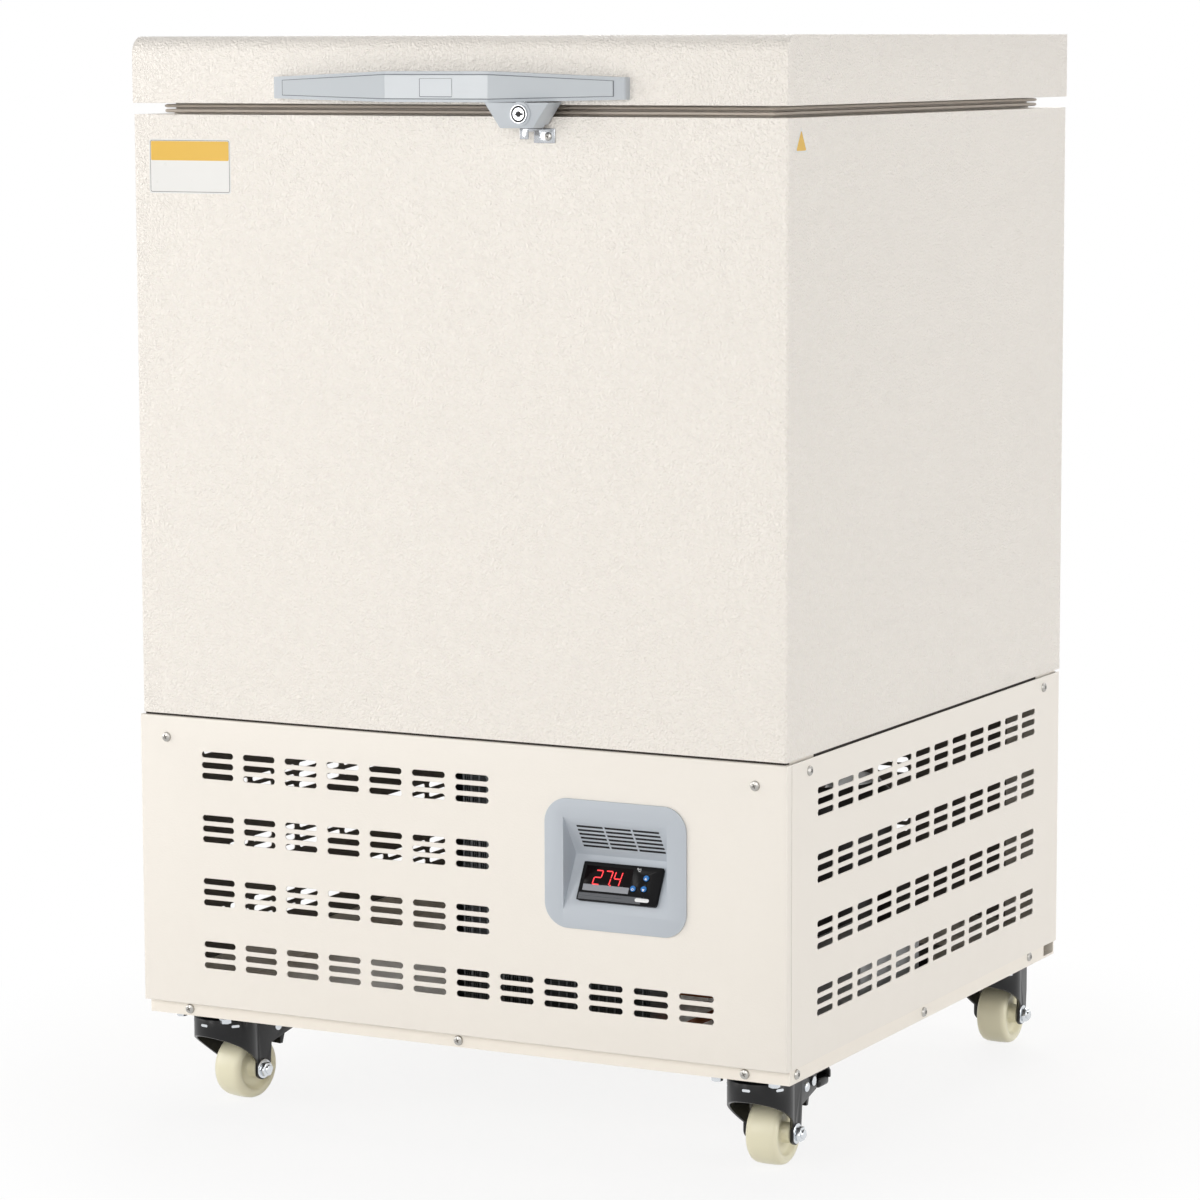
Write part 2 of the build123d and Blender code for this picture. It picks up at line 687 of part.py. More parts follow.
# Control bezel: a rounded flange with a V-shaped recess, grille above and controller below
lower_run = hypot(recess_depth, recess_lower)
upper_run = hypot(recess_depth, recess_upper)
lower_plane = Plane(
    origin=(bezel_x, (bezel_face + valley_y) / 2, (z_recess_low + z_valley) / 2),
    x_dir=(1, 0, 0), z_dir=(0, -recess_lower / lower_run, recess_depth / lower_run))
upper_plane = Plane(
    origin=(bezel_x, (bezel_face + valley_y) / 2, (z_recess_top + z_valley) / 2),
    x_dir=(1, 0, 0), z_dir=(0, -recess_upper / upper_run, -recess_depth / upper_run))
controller_face = (77.0, 35.0, 3.0)
controller_body = (71.0, 29.0, 52.0)
controller_up = 1.0

with BuildPart() as control_bezel:
    with BuildSketch(Plane.XZ.offset(-panel_y)):
        with Locations((bezel_x, bezel_z)):
            RectangleRounded(bezel_width, bezel_height, bezel_corner)
    extrude(amount=bezel_flange)
    with BuildSketch(Plane.YZ.offset(bezel_x - tub_width / 2)):
        with BuildLine():
            Polyline((panel_y, z_recess_top + bezel_wall), (valley_y + bezel_wall, z_valley),
                     (panel_y, z_recess_low - bezel_wall), close=True)
        make_face()
    extrude(amount=tub_width)
    with BuildSketch(Plane.YZ.offset(bezel_x - recess_width / 2)):
        with BuildLine():
            Polyline((bezel_face, z_recess_top), (valley_y, z_valley), (bezel_face, z_recess_low), close=True)
        make_face()
    extrude(amount=recess_width, mode=Mode.SUBTRACT)
    with BuildSketch(upper_plane):
        with GridLocations(*grille_pitch, grille_columns, grille_rows):
            Rectangle(*grille_slot)
    extrude(amount=-bezel_wall * 2, mode=Mode.SUBTRACT)
    with BuildSketch(lower_plane):
        with Locations((0, controller_up)):
            Rectangle(controller_body[0] + 2 * hole_fit, controller_body[1] + 2 * hole_fit)
    extrude(amount=-bezel_wall * 2, mode=Mode.SUBTRACT)
save(control_bezel.part, "control_bezel")

window_size = (45.0, 22.0, 1.0)
window_place = (-12.5, 3.0)
button_radius = 2.6
button_fit = 0.1
button_bore = 6.0
button_sunk = 4.0
button_proud = 1.0
button_travel = 0.8
button_places = {"button_up": (23.8, 7.0), "button_set": (13.4, -3.2), "button_down": (23.6, -2.7)}
face_plane = lower_plane.offset(controller_face[2])
with BuildPart() as controller_case:
    with BuildSketch(lower_plane):
        with Locations((0, controller_up)):
            Rectangle(controller_face[0], controller_face[1])
    extrude(amount=controller_face[2])
    chamfer(controller_case.faces().filter_by(face_plane).sort_by(Axis.Y)[0].edges(), length=hole_fit)
    with BuildSketch(lower_plane):
        with Locations((0, controller_up)):
            Rectangle(controller_body[0], controller_body[1])
    extrude(amount=-controller_body[2])
    with BuildSketch(face_plane):
        with Locations((window_place[0], controller_up + window_place[1])):
            Rectangle(window_size[0], window_size[1])
    extrude(amount=-window_size[2], mode=Mode.SUBTRACT)
    with BuildSketch(face_plane):
        with Locations(*[(x, y + controller_up) for x, y in button_places.values()]):
            Circle(button_radius + button_fit)
    extrude(amount=-button_bore, mode=Mode.SUBTRACT)
save(controller_case.part, "controller_case")

with BuildPart() as display_window:
    with BuildSketch(face_plane):
        with Locations((window_place[0], controller_up + window_place[1])):
            Rectangle(window_size[0], window_size[1])
    extrude(amount=-window_size[2])
save(display_window.part, "display_window")

for name, (x, y) in button_places.items():
    with BuildPart() as button:
        with BuildSketch(face_plane.offset(-button_sunk)):
            with Locations((x, y + controller_up)):
                Circle(button_radius)
        extrude(amount=button_sunk + button_proud)
    save(button.part, name)

# Power switch in the left panel
rocker_wide = 8.4
rocker_half = 7.6
rocker_rise = 3.5
rocker_dip = 1.5
rocker_keel = 5.0
rocker_keel_half = 3.0
rocker_room = 8.3
rocker_side_gap = 0.3
rocker_tilt = 7.0
rocker_pin = 1.2
rocker_pin_fit = 0.06
rocker_pin_reach = 1.5
rocker_well = 12.0
pivot_x = -panel_x - switch_bezel
well_wide = rocker_wide + 2 * rocker_side_gap
with BuildPart() as power_switch_frame:
    add(block(-panel_x - switch_bezel, -panel_x, switch_y - switch_wide / 2, switch_y + switch_wide / 2,
              switch_z - switch_tall / 2, switch_z + switch_tall / 2))
    add(block(-panel_x, -panel_x + switch_body_deep, switch_y - switch_body_wide / 2,
              switch_y + switch_body_wide / 2, switch_z - switch_body_tall / 2,
              switch_z + switch_body_tall / 2))
    add(block(pivot_x - cut, -panel_x + rocker_well, switch_y - well_wide / 2, switch_y + well_wide / 2,
              switch_z - rocker_room, switch_z + rocker_room), mode=Mode.SUBTRACT)
    with Locations(Plane.XZ.offset(-switch_y) * Pos(pivot_x + rocker_keel / 2, switch_z)):
        Cylinder(rocker_pin + rocker_pin_fit, well_wide + 2 * rocker_pin_reach + 2 * rocker_side_gap,
                 mode=Mode.SUBTRACT)
save(power_switch_frame.part, "power_switch_frame")

rocker_x = pivot_x + rocker_keel / 2
with BuildPart() as power_rocker:
    with BuildSketch(Plane.XZ.offset(-switch_y - rocker_wide / 2)):
        with BuildLine():
            Polyline((-rocker_rise, rocker_half), (-rocker_dip, 0), (-rocker_rise, -rocker_half),
                     (0, -rocker_half), (rocker_keel, -rocker_keel_half), (rocker_keel, rocker_keel_half),
                     (0, rocker_half), close=True)
        make_face()
    extrude(amount=rocker_wide)
    with Locations(Plane.XZ.offset(-switch_y)):
        Cylinder(rocker_pin, well_wide + 2 * rocker_pin_reach)
rocker = Pos(rocker_x, 0, switch_z) * Rot(0, rocker_tilt, 0) * power_rocker.part
save(rocker, "power_rocker")

# Refrigeration: condenser, fan, compressor, drier and pipes
z_floor = z_tray + frame_sheet
condenser_x = 39.0
condenser_width = 194.0
condenser_height = 235.0
condenser_deep = 40.0
condenser_set_back = 100.0
condenser_sheet = 1.5
fin_pitch = 8.0
fin_thick = 0.8
bend_radius = 10.0
bend_reach = 16.0
bend_count = 3
pipe_radius = 4.0
pipe_sides = 8
condenser_y = panel_y + condenser_set_back
condenser_right = condenser_x + condenser_width / 2
condenser_middle = condenser_y + condenser_deep / 2


def pipe(route):
    """An eight-sided pipe along straight runs with mitred corners; scene.py has it round."""
    with BuildPart() as tube:
        with BuildLine() as path:
            Polyline(*route)
        start = path.wires()[0]
        with BuildSketch(Plane(origin=start @ 0, z_dir=start % 0)):
            RegularPolygon(pipe_radius, pipe_sides)
        sweep(transition=Transition.RIGHT)
    return tube.part


bends = []
for step in range(bend_count):
    z_bend = z_floor + (step + 1) * condenser_height / (bend_count + 1)
    z_low = z_bend - bend_radius
    z_high = z_bend + bend_radius
    bends.append(pipe(((condenser_right, condenser_middle, z_low),
                       (condenser_right + bend_reach, condenser_middle, z_low),
                       (condenser_right + bend_reach, condenser_middle, z_high),
                       (condenser_right, condenser_middle, z_high))))

with BuildPart() as condenser:
    x0 = condenser_right - condenser_width
    x1 = condenser_right
    add(block(x0, x1, condenser_y, condenser_y + condenser_deep, z_floor, z_floor + condenser_height))
    add(block(x0 + condenser_sheet, x1 - condenser_sheet, condenser_y - cut, condenser_y + condenser_deep + cut,
              z_floor + condenser_sheet, z_floor + condenser_height - condenser_sheet), mode=Mode.SUBTRACT)
    fin_count = int((condenser_width - 2 * condenser_sheet) / fin_pitch) - 1
    with Locations((condenser_x, condenser_middle, z_floor + condenser_height / 2)):
        with GridLocations(fin_pitch, 0, fin_count, 1):
            Box(fin_thick, condenser_deep - 2 * condenser_sheet, condenser_height - 2 * condenser_sheet)
    for bend in bends:
        add(bend)
save(condenser.part, "condenser")

fan_radius = 82.0
fan_hole = 88.0
fan_blades = 5
fan_chord = 44.0
fan_pitch = 28.0
blade_thick = 1.5
blade_root = 16.0
fan_hub = 20.0
fan_hub_long = 22.0
shroud_sheet = 1.5
collar_deep = 20.0
fan_stand_off = 5.0
motor_radius = 36.0
motor_long = 42.0
motor_gap = 6.0
motor_bore = 12.0
shaft_radius = 4.0
shaft_fit = 0.06
strap_height = 12.0
strap_offset = 24.0
strap_sheet = 2.0
fan_z = z_floor + condenser_height / 2
shroud_y = condenser_y + condenser_deep
collar_y = shroud_y + shroud_sheet
hub_y = collar_y + fan_stand_off
motor_y = hub_y + fan_hub_long + motor_gap
with BuildPart() as fan_shroud:
    add(block(condenser_right - condenser_width, condenser_right, shroud_y, collar_y,
              z_floor, z_floor + condenser_height))
    with BuildSketch(Plane.XZ.offset(-collar_y)):
        with Locations((condenser_x, fan_z)):
            Circle(fan_hole + shroud_sheet)
    extrude(amount=-collar_deep)
    with BuildSketch(Plane.XZ.offset(-shroud_y)):
        with Locations((condenser_x, fan_z)):
            Circle(fan_hole)
    extrude(amount=-collar_deep - shroud_sheet, mode=Mode.SUBTRACT)
save(fan_shroud.part, "fan_shroud")

strap_end = condenser_width / 2
with BuildPart() as fan_motor:
    with BuildSketch(Plane.XZ.offset(-motor_y)):
        with Locations((condenser_x, fan_z)):
            Circle(motor_radius)
    extrude(amount=-motor_long)
    for lift in (-strap_offset, strap_offset):
        z0 = fan_z + lift - strap_height / 2
        add(block(condenser_x - strap_end, condenser_x + strap_end, motor_y - strap_sheet, motor_y,
                  z0, z0 + strap_height))
        for side in (-1, 1):
            x0, x1 = sorted((condenser_x + side * strap_end, condenser_x + side * (strap_end - strap_sheet)))
            add(block(x0, x1, collar_y, motor_y, z0, z0 + strap_height))
    with BuildSketch(Plane.XZ.offset(-motor_y)):
        with Locations((condenser_x, fan_z)):
            Circle(shaft_radius + shaft_fit)
    extrude(amount=-motor_bore, mode=Mode.SUBTRACT)
save(fan_motor.part, "fan_motor")

with BuildPart() as fan_rotor:
    with BuildSketch(Plane.XZ.offset(-hub_y)):
        with Locations((condenser_x, fan_z)):
            Circle(fan_hub)
    extrude(amount=-fan_hub_long)
    with BuildSketch(Plane.XZ.offset(-hub_y - fan_hub_long)):
        with Locations((condenser_x, fan_z)):
            Circle(shaft_radius)
    extrude(amount=-motor_gap - motor_bore + fan_stand_off / 2)
    with Locations(Plane.XZ.offset(-hub_y - fan_hub_long / 2) * Pos(condenser_x, fan_z)):
        with PolarLocations((blade_root + fan_radius) / 2, fan_blades):
            Box(fan_radius - blade_root, fan_chord, blade_thick, rotation=(fan_pitch, 0, 0))
save(fan_rotor.part, "fan_rotor")

compressor_side = 171.8
compressor_back = 169.0
can_radius = 70.0
can_height = 165.0
can_round = 30.0
weld_ring = 3.0
weld_up_share = 0.45
foot_size = (190.0, 136.0, 3.0)
mount_spread = (160.0, 106.0)
mount_radius = 11.0
mount_sides = 8
mount_height = 15.0
stub_radius = 5.0
stub_reach = 10.0
stub_up_share = 0.6
terminal = (34.0, 46.0, 60.0)
compressor_x = panel_x - compressor_side
compressor_y = rail_back - compressor_back
z_foot = z_floor + mount_height
z_can = z_foot + foot_size[2]
z_can_top = z_can + can_height
z_stub = z_can + can_height * stub_up_share
with BuildPart() as compressor:
    with BuildSketch(Plane.XY.offset(z_can)):
        with Locations((compressor_x, compressor_y)):
            Circle(can_radius)
    extrude(amount=can_height)
    chamfer(compressor.faces().sort_by(Axis.Z)[-1].edges(), length=can_round / 2)
    with BuildSketch(Plane.XY.offset(z_can + can_height * weld_up_share)):
        with Locations((compressor_x, compressor_y)):
            Circle(can_radius + weld_ring)
    extrude(amount=weld_ring)
    with BuildSketch(Plane.XY.offset(z_foot)):
        with Locations((compressor_x, compressor_y)):
            Rectangle(foot_size[0], foot_size[1])
    extrude(amount=foot_size[2])
    add(block(compressor_x + can_radius - terminal[0] / 2, compressor_x + can_radius + terminal[0] / 2,
              compressor_y - terminal[1] / 2, compressor_y + terminal[1] / 2,
              z_can + can_round, z_can + can_round + terminal[2]))
    with BuildSketch(Plane.YZ.offset(compressor_x - can_radius - stub_reach)):
        with Locations((compressor_y, z_stub)):
            Circle(stub_radius)
    extrude(amount=2 * stub_reach)
    with BuildSketch(Plane.XY.offset(z_can_top - stub_reach)):
        with Locations((compressor_x, compressor_y)):
            Circle(stub_radius)
    extrude(amount=2 * stub_reach)
save(compressor.part, "compressor")

with BuildPart() as compressor_mounts:
    with BuildSketch(Plane.XY.offset(z_floor)):
        with Locations((compressor_x, compressor_y)):
            with GridLocations(*mount_spread, 2, 2):
                RegularPolygon(mount_radius, mount_sides)
    extrude(amount=mount_height)
save(compressor_mounts.part, "compressor_mounts")

drier_x = -120.0
drier_y = 60.0
drier_radius = 11.0
drier_long = 100.0
drier_up = 42.0
pipe_clear = 14.0
pipe_side = 26.0
pipe_low = 8.0
liquid_set_back = 160.0
z_pipe_top = z_cabinet - pipe_clear
z_pipe_low = z_floor + pipe_low
z_inlet = z_floor + condenser_height - pipe_side
z_drier = z_floor + drier_up
suction_y = compressor_y - can_radius - pipe_side
liquid_y = condenser_y + liquid_set_back
suction_x = compressor_x - can_radius - stub_reach
with BuildPart() as filter_drier:
    with BuildSketch(Plane.XY.offset(z_drier)):
        with Locations((drier_x, drier_y)):
            Circle(drier_radius)
    extrude(amount=drier_long)
save(filter_drier.part, "filter_drier")

pipe_routes = (
    ((suction_x, compressor_y, z_stub), (suction_x - pipe_side, compressor_y, z_stub),
     (suction_x - pipe_side, compressor_y, z_cabinet)),
    ((compressor_x, compressor_y, z_can_top + stub_reach), (compressor_x, compressor_y, z_pipe_top),
     (condenser_right + pipe_side, condenser_middle, z_pipe_top),
     (condenser_right + pipe_side, condenser_middle, z_inlet), (condenser_right, condenser_middle, z_inlet)),
    ((condenser_right, condenser_middle, z_pipe_low), (condenser_right + pipe_side, condenser_middle, z_pipe_low),
     (condenser_right + pipe_side, liquid_y, z_pipe_low), (drier_x, liquid_y, z_pipe_low),
     (drier_x, drier_y, z_pipe_low), (drier_x, drier_y, z_drier)),
    ((drier_x, drier_y, z_drier + drier_long), (drier_x, drier_y, z_pipe_top - pipe_side),
     (drier_x, drier_y + pipe_side, z_pipe_top - pipe_side), (drier_x, drier_y + pipe_side, z_cabinet)),
)


pipes = Compound(children=[pipe(route) for route in pipe_routes])
save(pipes, "refrigerant_pipes")

box_side_gap = 21.8
box_set_back = 200.45
box_size = (64.0, 130.0, 74.0)
box_x = panel_x - box_side_gap - box_size[0]
box_y = panel_y + box_set_back
with BuildPart() as electrical_box:
    add(block(box_x, box_x + box_size[0], box_y, box_y + box_size[1], z_floor, z_floor + box_size[2]))
save(electrical_box.part, "electrical_box")

# Casters, in their own frame: the swivel axis at x = y = 0 and the floor at z = 0
plate_size = (66.0, 72.0, 2.5)
race_radius = 24.0
race_height = 5.0
king_radius = 5.0
king_head = 9.0
king_sides = 6
king_head_thick = 2.5
cup_radius = 29.0
fork_half = 22.0
fork_sheet = 2.5
fork_skirt = 8.0
skirt_drop = 15.7
skirt_bulge = (-8.0, 26.7)
trail = 26.0
wheel_radius = 29.0
wheel_half = 12.15
hub_radius = 9.0
hub_gap = 0.4
eye_radius = 10.0
eye_rise = 7.0
leg_back = 38.0
axle_radius = 4.0
axle_fit = 0.06
nut_radius = 7.0
nut_sides = 6
nut_thick = 6.0
bolt_head_thick = 2.0
bolt_end = 2.0
ear_y = 67.0
ear_drop = (6.0, 22.0)
rivet_radius = 3.0
rivet_head = 4.3
rivet_sides = 12
rivet_head_thick = 1.5
pedal_y = 60.0
pedal_drop = 13.7
pedal_barrel = 6.0
pedal_thick = 3.0
pedal_reach = 44.0
pedal_bend = 6.0
pedal_lip = 12.0
shoe_long = 21.0
shoe_tip = (7.3, 3.5)
side_gap = 0.5
z_fork = caster_height - plate_size[2] - race_height - rest_gap
z_pedal = z_fork - pedal_drop
fork_inner = fork_half - fork_sheet


def caster_plate():
    """Top plate, ball race and king pin, as one riveted piece."""
    with BuildPart() as plate:
        with BuildSketch(Plane.XY.offset(caster_height)):
            Rectangle(plate_size[0], plate_size[1])
        extrude(amount=-plate_size[2])
        with BuildSketch(Plane.XY.offset(caster_height - plate_size[2])):
            Circle(race_radius)
        extrude(amount=-race_height)
        with BuildSketch(Plane.XY.offset(z_fork + rest_gap)):
            Circle(king_radius)
        extrude(amount=-fork_sheet - 2 * rest_gap - king_head_thick)
        with BuildSketch(Plane.XY.offset(z_fork - fork_sheet - rest_gap)):
            RegularPolygon(king_head, king_sides)
        extrude(amount=-king_head_thick)
    return plate.part


def caster_fork(braked):
    """Pressed fork: a round cup with a cut-away skirt, two legs and, when braked, two ears behind."""
    back = ear_y if braked else leg_back
    with BuildPart() as fork:
        with BuildSketch(Plane.YZ.offset(-cup_radius)):
            with BuildLine():
                rim = ThreePointArc((-cup_radius, z_fork - skirt_drop), (skirt_bulge[0], z_fork - skirt_bulge[1]),
                                    (trail - eye_radius, wheel_radius + eye_rise))
                Polyline(rim @ 1, (trail - eye_radius, wheel_radius), (trail + eye_radius, wheel_radius),
                         (leg_back, z_fork - ear_drop[1] - fork_skirt), (back, z_fork - ear_drop[1]),
                         (back, z_fork - ear_drop[0]), (leg_back, z_fork), (-cup_radius, z_fork), rim @ 0)
            make_face()
            with Locations((trail, wheel_radius)):
                Circle(eye_radius)
        extrude(amount=2 * cup_radius)
        with BuildSketch():
            with Locations((0, (ear_y + cut) / 2)):
                Rectangle(2 * fork_half, ear_y + cut)
            Circle(cup_radius)
        extrude(amount=caster_height, mode=Mode.INTERSECT)
        with BuildSketch():
            with Locations((0, ear_y)):
                Rectangle(2 * fork_inner, 2 * ear_y)
            Circle(cup_radius - fork_sheet)
        extrude(amount=z_fork - fork_sheet, mode=Mode.SUBTRACT)
        with BuildSketch():
            Circle(king_radius + axle_fit)
        extrude(amount=caster_height, mode=Mode.SUBTRACT)
        with BuildSketch(Plane.YZ.offset(-fork_half)):
            with Locations((trail, wheel_radius)):
                Circle(axle_radius + axle_fit)
            if braked:
                with Locations((pedal_y, z_pedal)):
                    Circle(rivet_radius + axle_fit)
        extrude(amount=2 * fork_half, mode=Mode.SUBTRACT)
    return fork.part


def caster_wheel():
    """Nylon wheel with a flat tread and a long hub; scene.py crowns the tread."""
    hub_half = fork_inner - hub_gap
    with BuildPart() as wheel:
        with BuildSketch(Plane.XY):
            with BuildLine():
                Polyline((-wheel_half, wheel_radius), (wheel_half, wheel_radius), (wheel_half, hub_radius),
                         (hub_half, hub_radius), (hub_half, axle_radius + axle_fit),
                         (-hub_half, axle_radius + axle_fit), (-hub_half, hub_radius),
                         (-wheel_half, hub_radius), close=True)
            make_face()
        revolve(axis=Axis.X)
    return Pos(0, trail, wheel_radius) * wheel.part


def cross_bolt(y, z, radius, head, head_thick, nut, sides, end):
    """A pin along X through both legs, with a head on the left and a nut or head on the right."""
    with BuildPart() as bolt:
        with BuildSketch(Plane.YZ.offset(-fork_half)):
            with Locations((y, z)):
                Circle(radius)
        extrude(amount=2 * fork_half + end)
        for x, amount in ((-fork_half, -head_thick), (fork_half, nut)):
            with BuildSketch(Plane.YZ.offset(x)):
                with Locations((y, z)):
                    RegularPolygon(head, sides)
            extrude(amount=amount)
    return bolt.part


def brake_pedal_solid():
    """Lever with a bent lip, on a barrel between the ears, and a shoe behind the tread."""
    half = fork_inner - side_gap
    top = z_pedal + pedal_barrel
    tip = pedal_y + pedal_reach
    with BuildPart() as pedal:
        with BuildSketch(Plane.YZ.offset(-half)):
            with Locations((pedal_y, z_pedal)):
                Circle(pedal_barrel)
            with BuildLine():
                Polyline((pedal_y, top), (tip - pedal_bend, top), (tip, top - pedal_bend),
                         (tip, top - pedal_lip), (tip - pedal_thick, top - pedal_lip),
                         (tip - pedal_thick, top - pedal_bend), (tip - pedal_bend, top - pedal_thick),
                         (pedal_y, top - pedal_thick), close=True)
            make_face()
            with BuildLine():
                Polyline((pedal_y - pedal_barrel, z_pedal), (pedal_y - shoe_tip[0], z_pedal - shoe_long),
                         (pedal_y - shoe_tip[1], z_pedal - shoe_long), (pedal_y + pedal_thick, z_pedal),
                         close=True)
            make_face()
        extrude(amount=2 * half)
        with BuildSketch(Plane.YZ.offset(-half)):
            with Locations((pedal_y, z_pedal)):
                Circle(rivet_radius + 2 * axle_fit)
        extrude(amount=2 * half, mode=Mode.SUBTRACT)
    return pedal.part


caster_side = 49.6
caster_set_back = 47.45
caster_set_front = 37.0
caster_x = tray_half - caster_side
front_caster_y = tray_front + caster_set_back
rear_caster_y = rail_back - caster_set_front
casters = {
    "front_left": (-caster_x, front_caster_y, -10, True),
    "front_right": (caster_x, front_caster_y, 0, True),
    "rear_left": (-caster_x, rear_caster_y, 0, False),
    "rear_right": (caster_x, rear_caster_y, 0, False),
}
plates = []
for corner, (x, y, turn, braked) in casters.items():
    place = Pos(x, y) * Rot(0, 0, turn)
    plates.append(Pos(x, y) * caster_plate())
    save(place * caster_fork(braked), f"fork_{corner}")
    save(place * caster_wheel(), f"wheel_{corner}")
    bolts = [cross_bolt(trail, wheel_radius, axle_radius, nut_radius, bolt_head_thick, nut_thick, nut_sides,
                        nut_thick + bolt_end)]
    if braked:
        bolts.append(cross_bolt(pedal_y, z_pedal, rivet_radius, rivet_head, rivet_head_thick, rivet_head_thick,
                                rivet_sides, 0))
        save(place * brake_pedal_solid(), f"brake_pedal_{corner}")
    save(place * Compound(children=bolts), f"axle_{corner}")
save(Compound(children=plates), "caster_plates")
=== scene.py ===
"""Looks of a chest ultra low temperature freezer on casters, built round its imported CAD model."""
import math

import bmesh
import bpy
from mathutils import Matrix, Vector


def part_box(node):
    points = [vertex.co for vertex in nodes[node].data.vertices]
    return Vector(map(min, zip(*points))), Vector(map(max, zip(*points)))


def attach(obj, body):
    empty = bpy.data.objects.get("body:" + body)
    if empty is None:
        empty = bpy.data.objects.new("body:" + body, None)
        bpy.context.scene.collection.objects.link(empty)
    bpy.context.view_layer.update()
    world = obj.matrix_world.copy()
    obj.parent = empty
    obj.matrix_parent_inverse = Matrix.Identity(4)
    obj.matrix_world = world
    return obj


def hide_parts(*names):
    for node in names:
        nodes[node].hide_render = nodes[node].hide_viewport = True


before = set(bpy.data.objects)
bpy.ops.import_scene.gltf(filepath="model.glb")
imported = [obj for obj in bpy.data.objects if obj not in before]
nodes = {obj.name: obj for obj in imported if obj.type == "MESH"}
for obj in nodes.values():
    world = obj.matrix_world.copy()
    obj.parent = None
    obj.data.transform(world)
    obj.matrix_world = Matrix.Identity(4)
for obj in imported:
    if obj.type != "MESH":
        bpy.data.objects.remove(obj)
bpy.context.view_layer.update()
mm = 0.001
on_axis = 0.00001  # the radius that starts and ends a closed spun outline


# Camera, stage and light

def look_from(place, azimuth, elevation, roll, lens):
    """A camera at a place, turned by azimuth, elevation and roll in degrees."""
    camera = bpy.data.cameras.new("camera")
    camera.sensor_width = 36.0
    camera.lens = lens
    camera.clip_end = 50.0
    holder = bpy.data.objects.new("camera", camera)
    turn = (Matrix.Rotation(math.radians(azimuth), 4, "Z")
            @ Matrix.Rotation(math.radians(90 - elevation), 4, "X")
            @ Matrix.Rotation(math.radians(roll), 4, "Z"))
    holder.matrix_world = Matrix.Translation(place) @ turn
    bpy.context.scene.collection.objects.link(holder)
    bpy.context.scene.camera = holder


def softbox(name, place, aim, size, power, colour):
    """A rectangular lamp facing a point."""
    lamp = bpy.data.lights.new(name, "AREA")
    lamp.shape = "RECTANGLE"
    lamp.size, lamp.size_y = size
    lamp.energy = power
    lamp.color = colour
    holder = bpy.data.objects.new(name, lamp)
    holder.location = place
    holder.rotation_euler = (Vector(aim) - Vector(place)).to_track_quat("-Z", "Y").to_euler()
    bpy.context.scene.collection.objects.link(holder)


def blend_values(tree, operation, a, b):
    """A Math node between two sockets or numbers."""
    node = tree.nodes.new("ShaderNodeMath")
    node.operation = operation
    for socket, value in zip(node.inputs, (a, b)):
        if isinstance(value, (int, float)):
            socket.default_value = value
        else:
            tree.links.new(value, socket)
    return node.outputs[0]


def background_rays(tree):
    """Light Path masks: rays from the camera, and rays that see the background in a reflection."""
    rays = tree.nodes.new("ShaderNodeLightPath")
    mirrored = blend_values(tree, "MAXIMUM", rays.outputs["Is Glossy Ray"], rays.outputs["Is Transmission Ray"])
    return rays.outputs["Is Camera Ray"], mirrored


def studio():
    """White surroundings for the camera and for reflections, and soft light, weaker from overhead."""
    world = bpy.data.worlds.new("studio")
    bpy.context.scene.world = world
    world.use_nodes = True
    tree = world.node_tree
    tree.nodes.clear()
    out = tree.nodes.new("ShaderNodeOutputWorld")
    mix = tree.nodes.new("ShaderNodeMixShader")
    room = tree.nodes.new("ShaderNodeBackground")
    white = tree.nodes.new("ShaderNodeBackground")
    room.inputs["Color"].default_value = (1.0, 0.985, 0.97, 1)
    direction = tree.nodes.new("ShaderNodeTexCoord")
    parts = tree.nodes.new("ShaderNodeSeparateXYZ")
    tree.links.new(direction.outputs["Object"], parts.inputs[0])
    level = tree.nodes.new("ShaderNodeMapRange")
    level.inputs["From Min"].default_value = 0.15
    level.inputs["From Max"].default_value = 0.85
    level.inputs["To Min"].default_value = 0.42
    level.inputs["To Max"].default_value = 0.26
    tree.links.new(parts.outputs["Z"], level.inputs["Value"])
    tree.links.new(level.outputs["Result"], room.inputs["Strength"])
    white.inputs["Color"].default_value = (1, 1, 1, 1)
    tree.links.new(blend_values(tree, "MAXIMUM", *background_rays(tree)), mix.inputs["Fac"])
    tree.links.new(room.outputs[0], mix.inputs[1])
    tree.links.new(white.outputs[0], mix.inputs[2])
    tree.links.new(mix.outputs[0], out.inputs["Surface"])


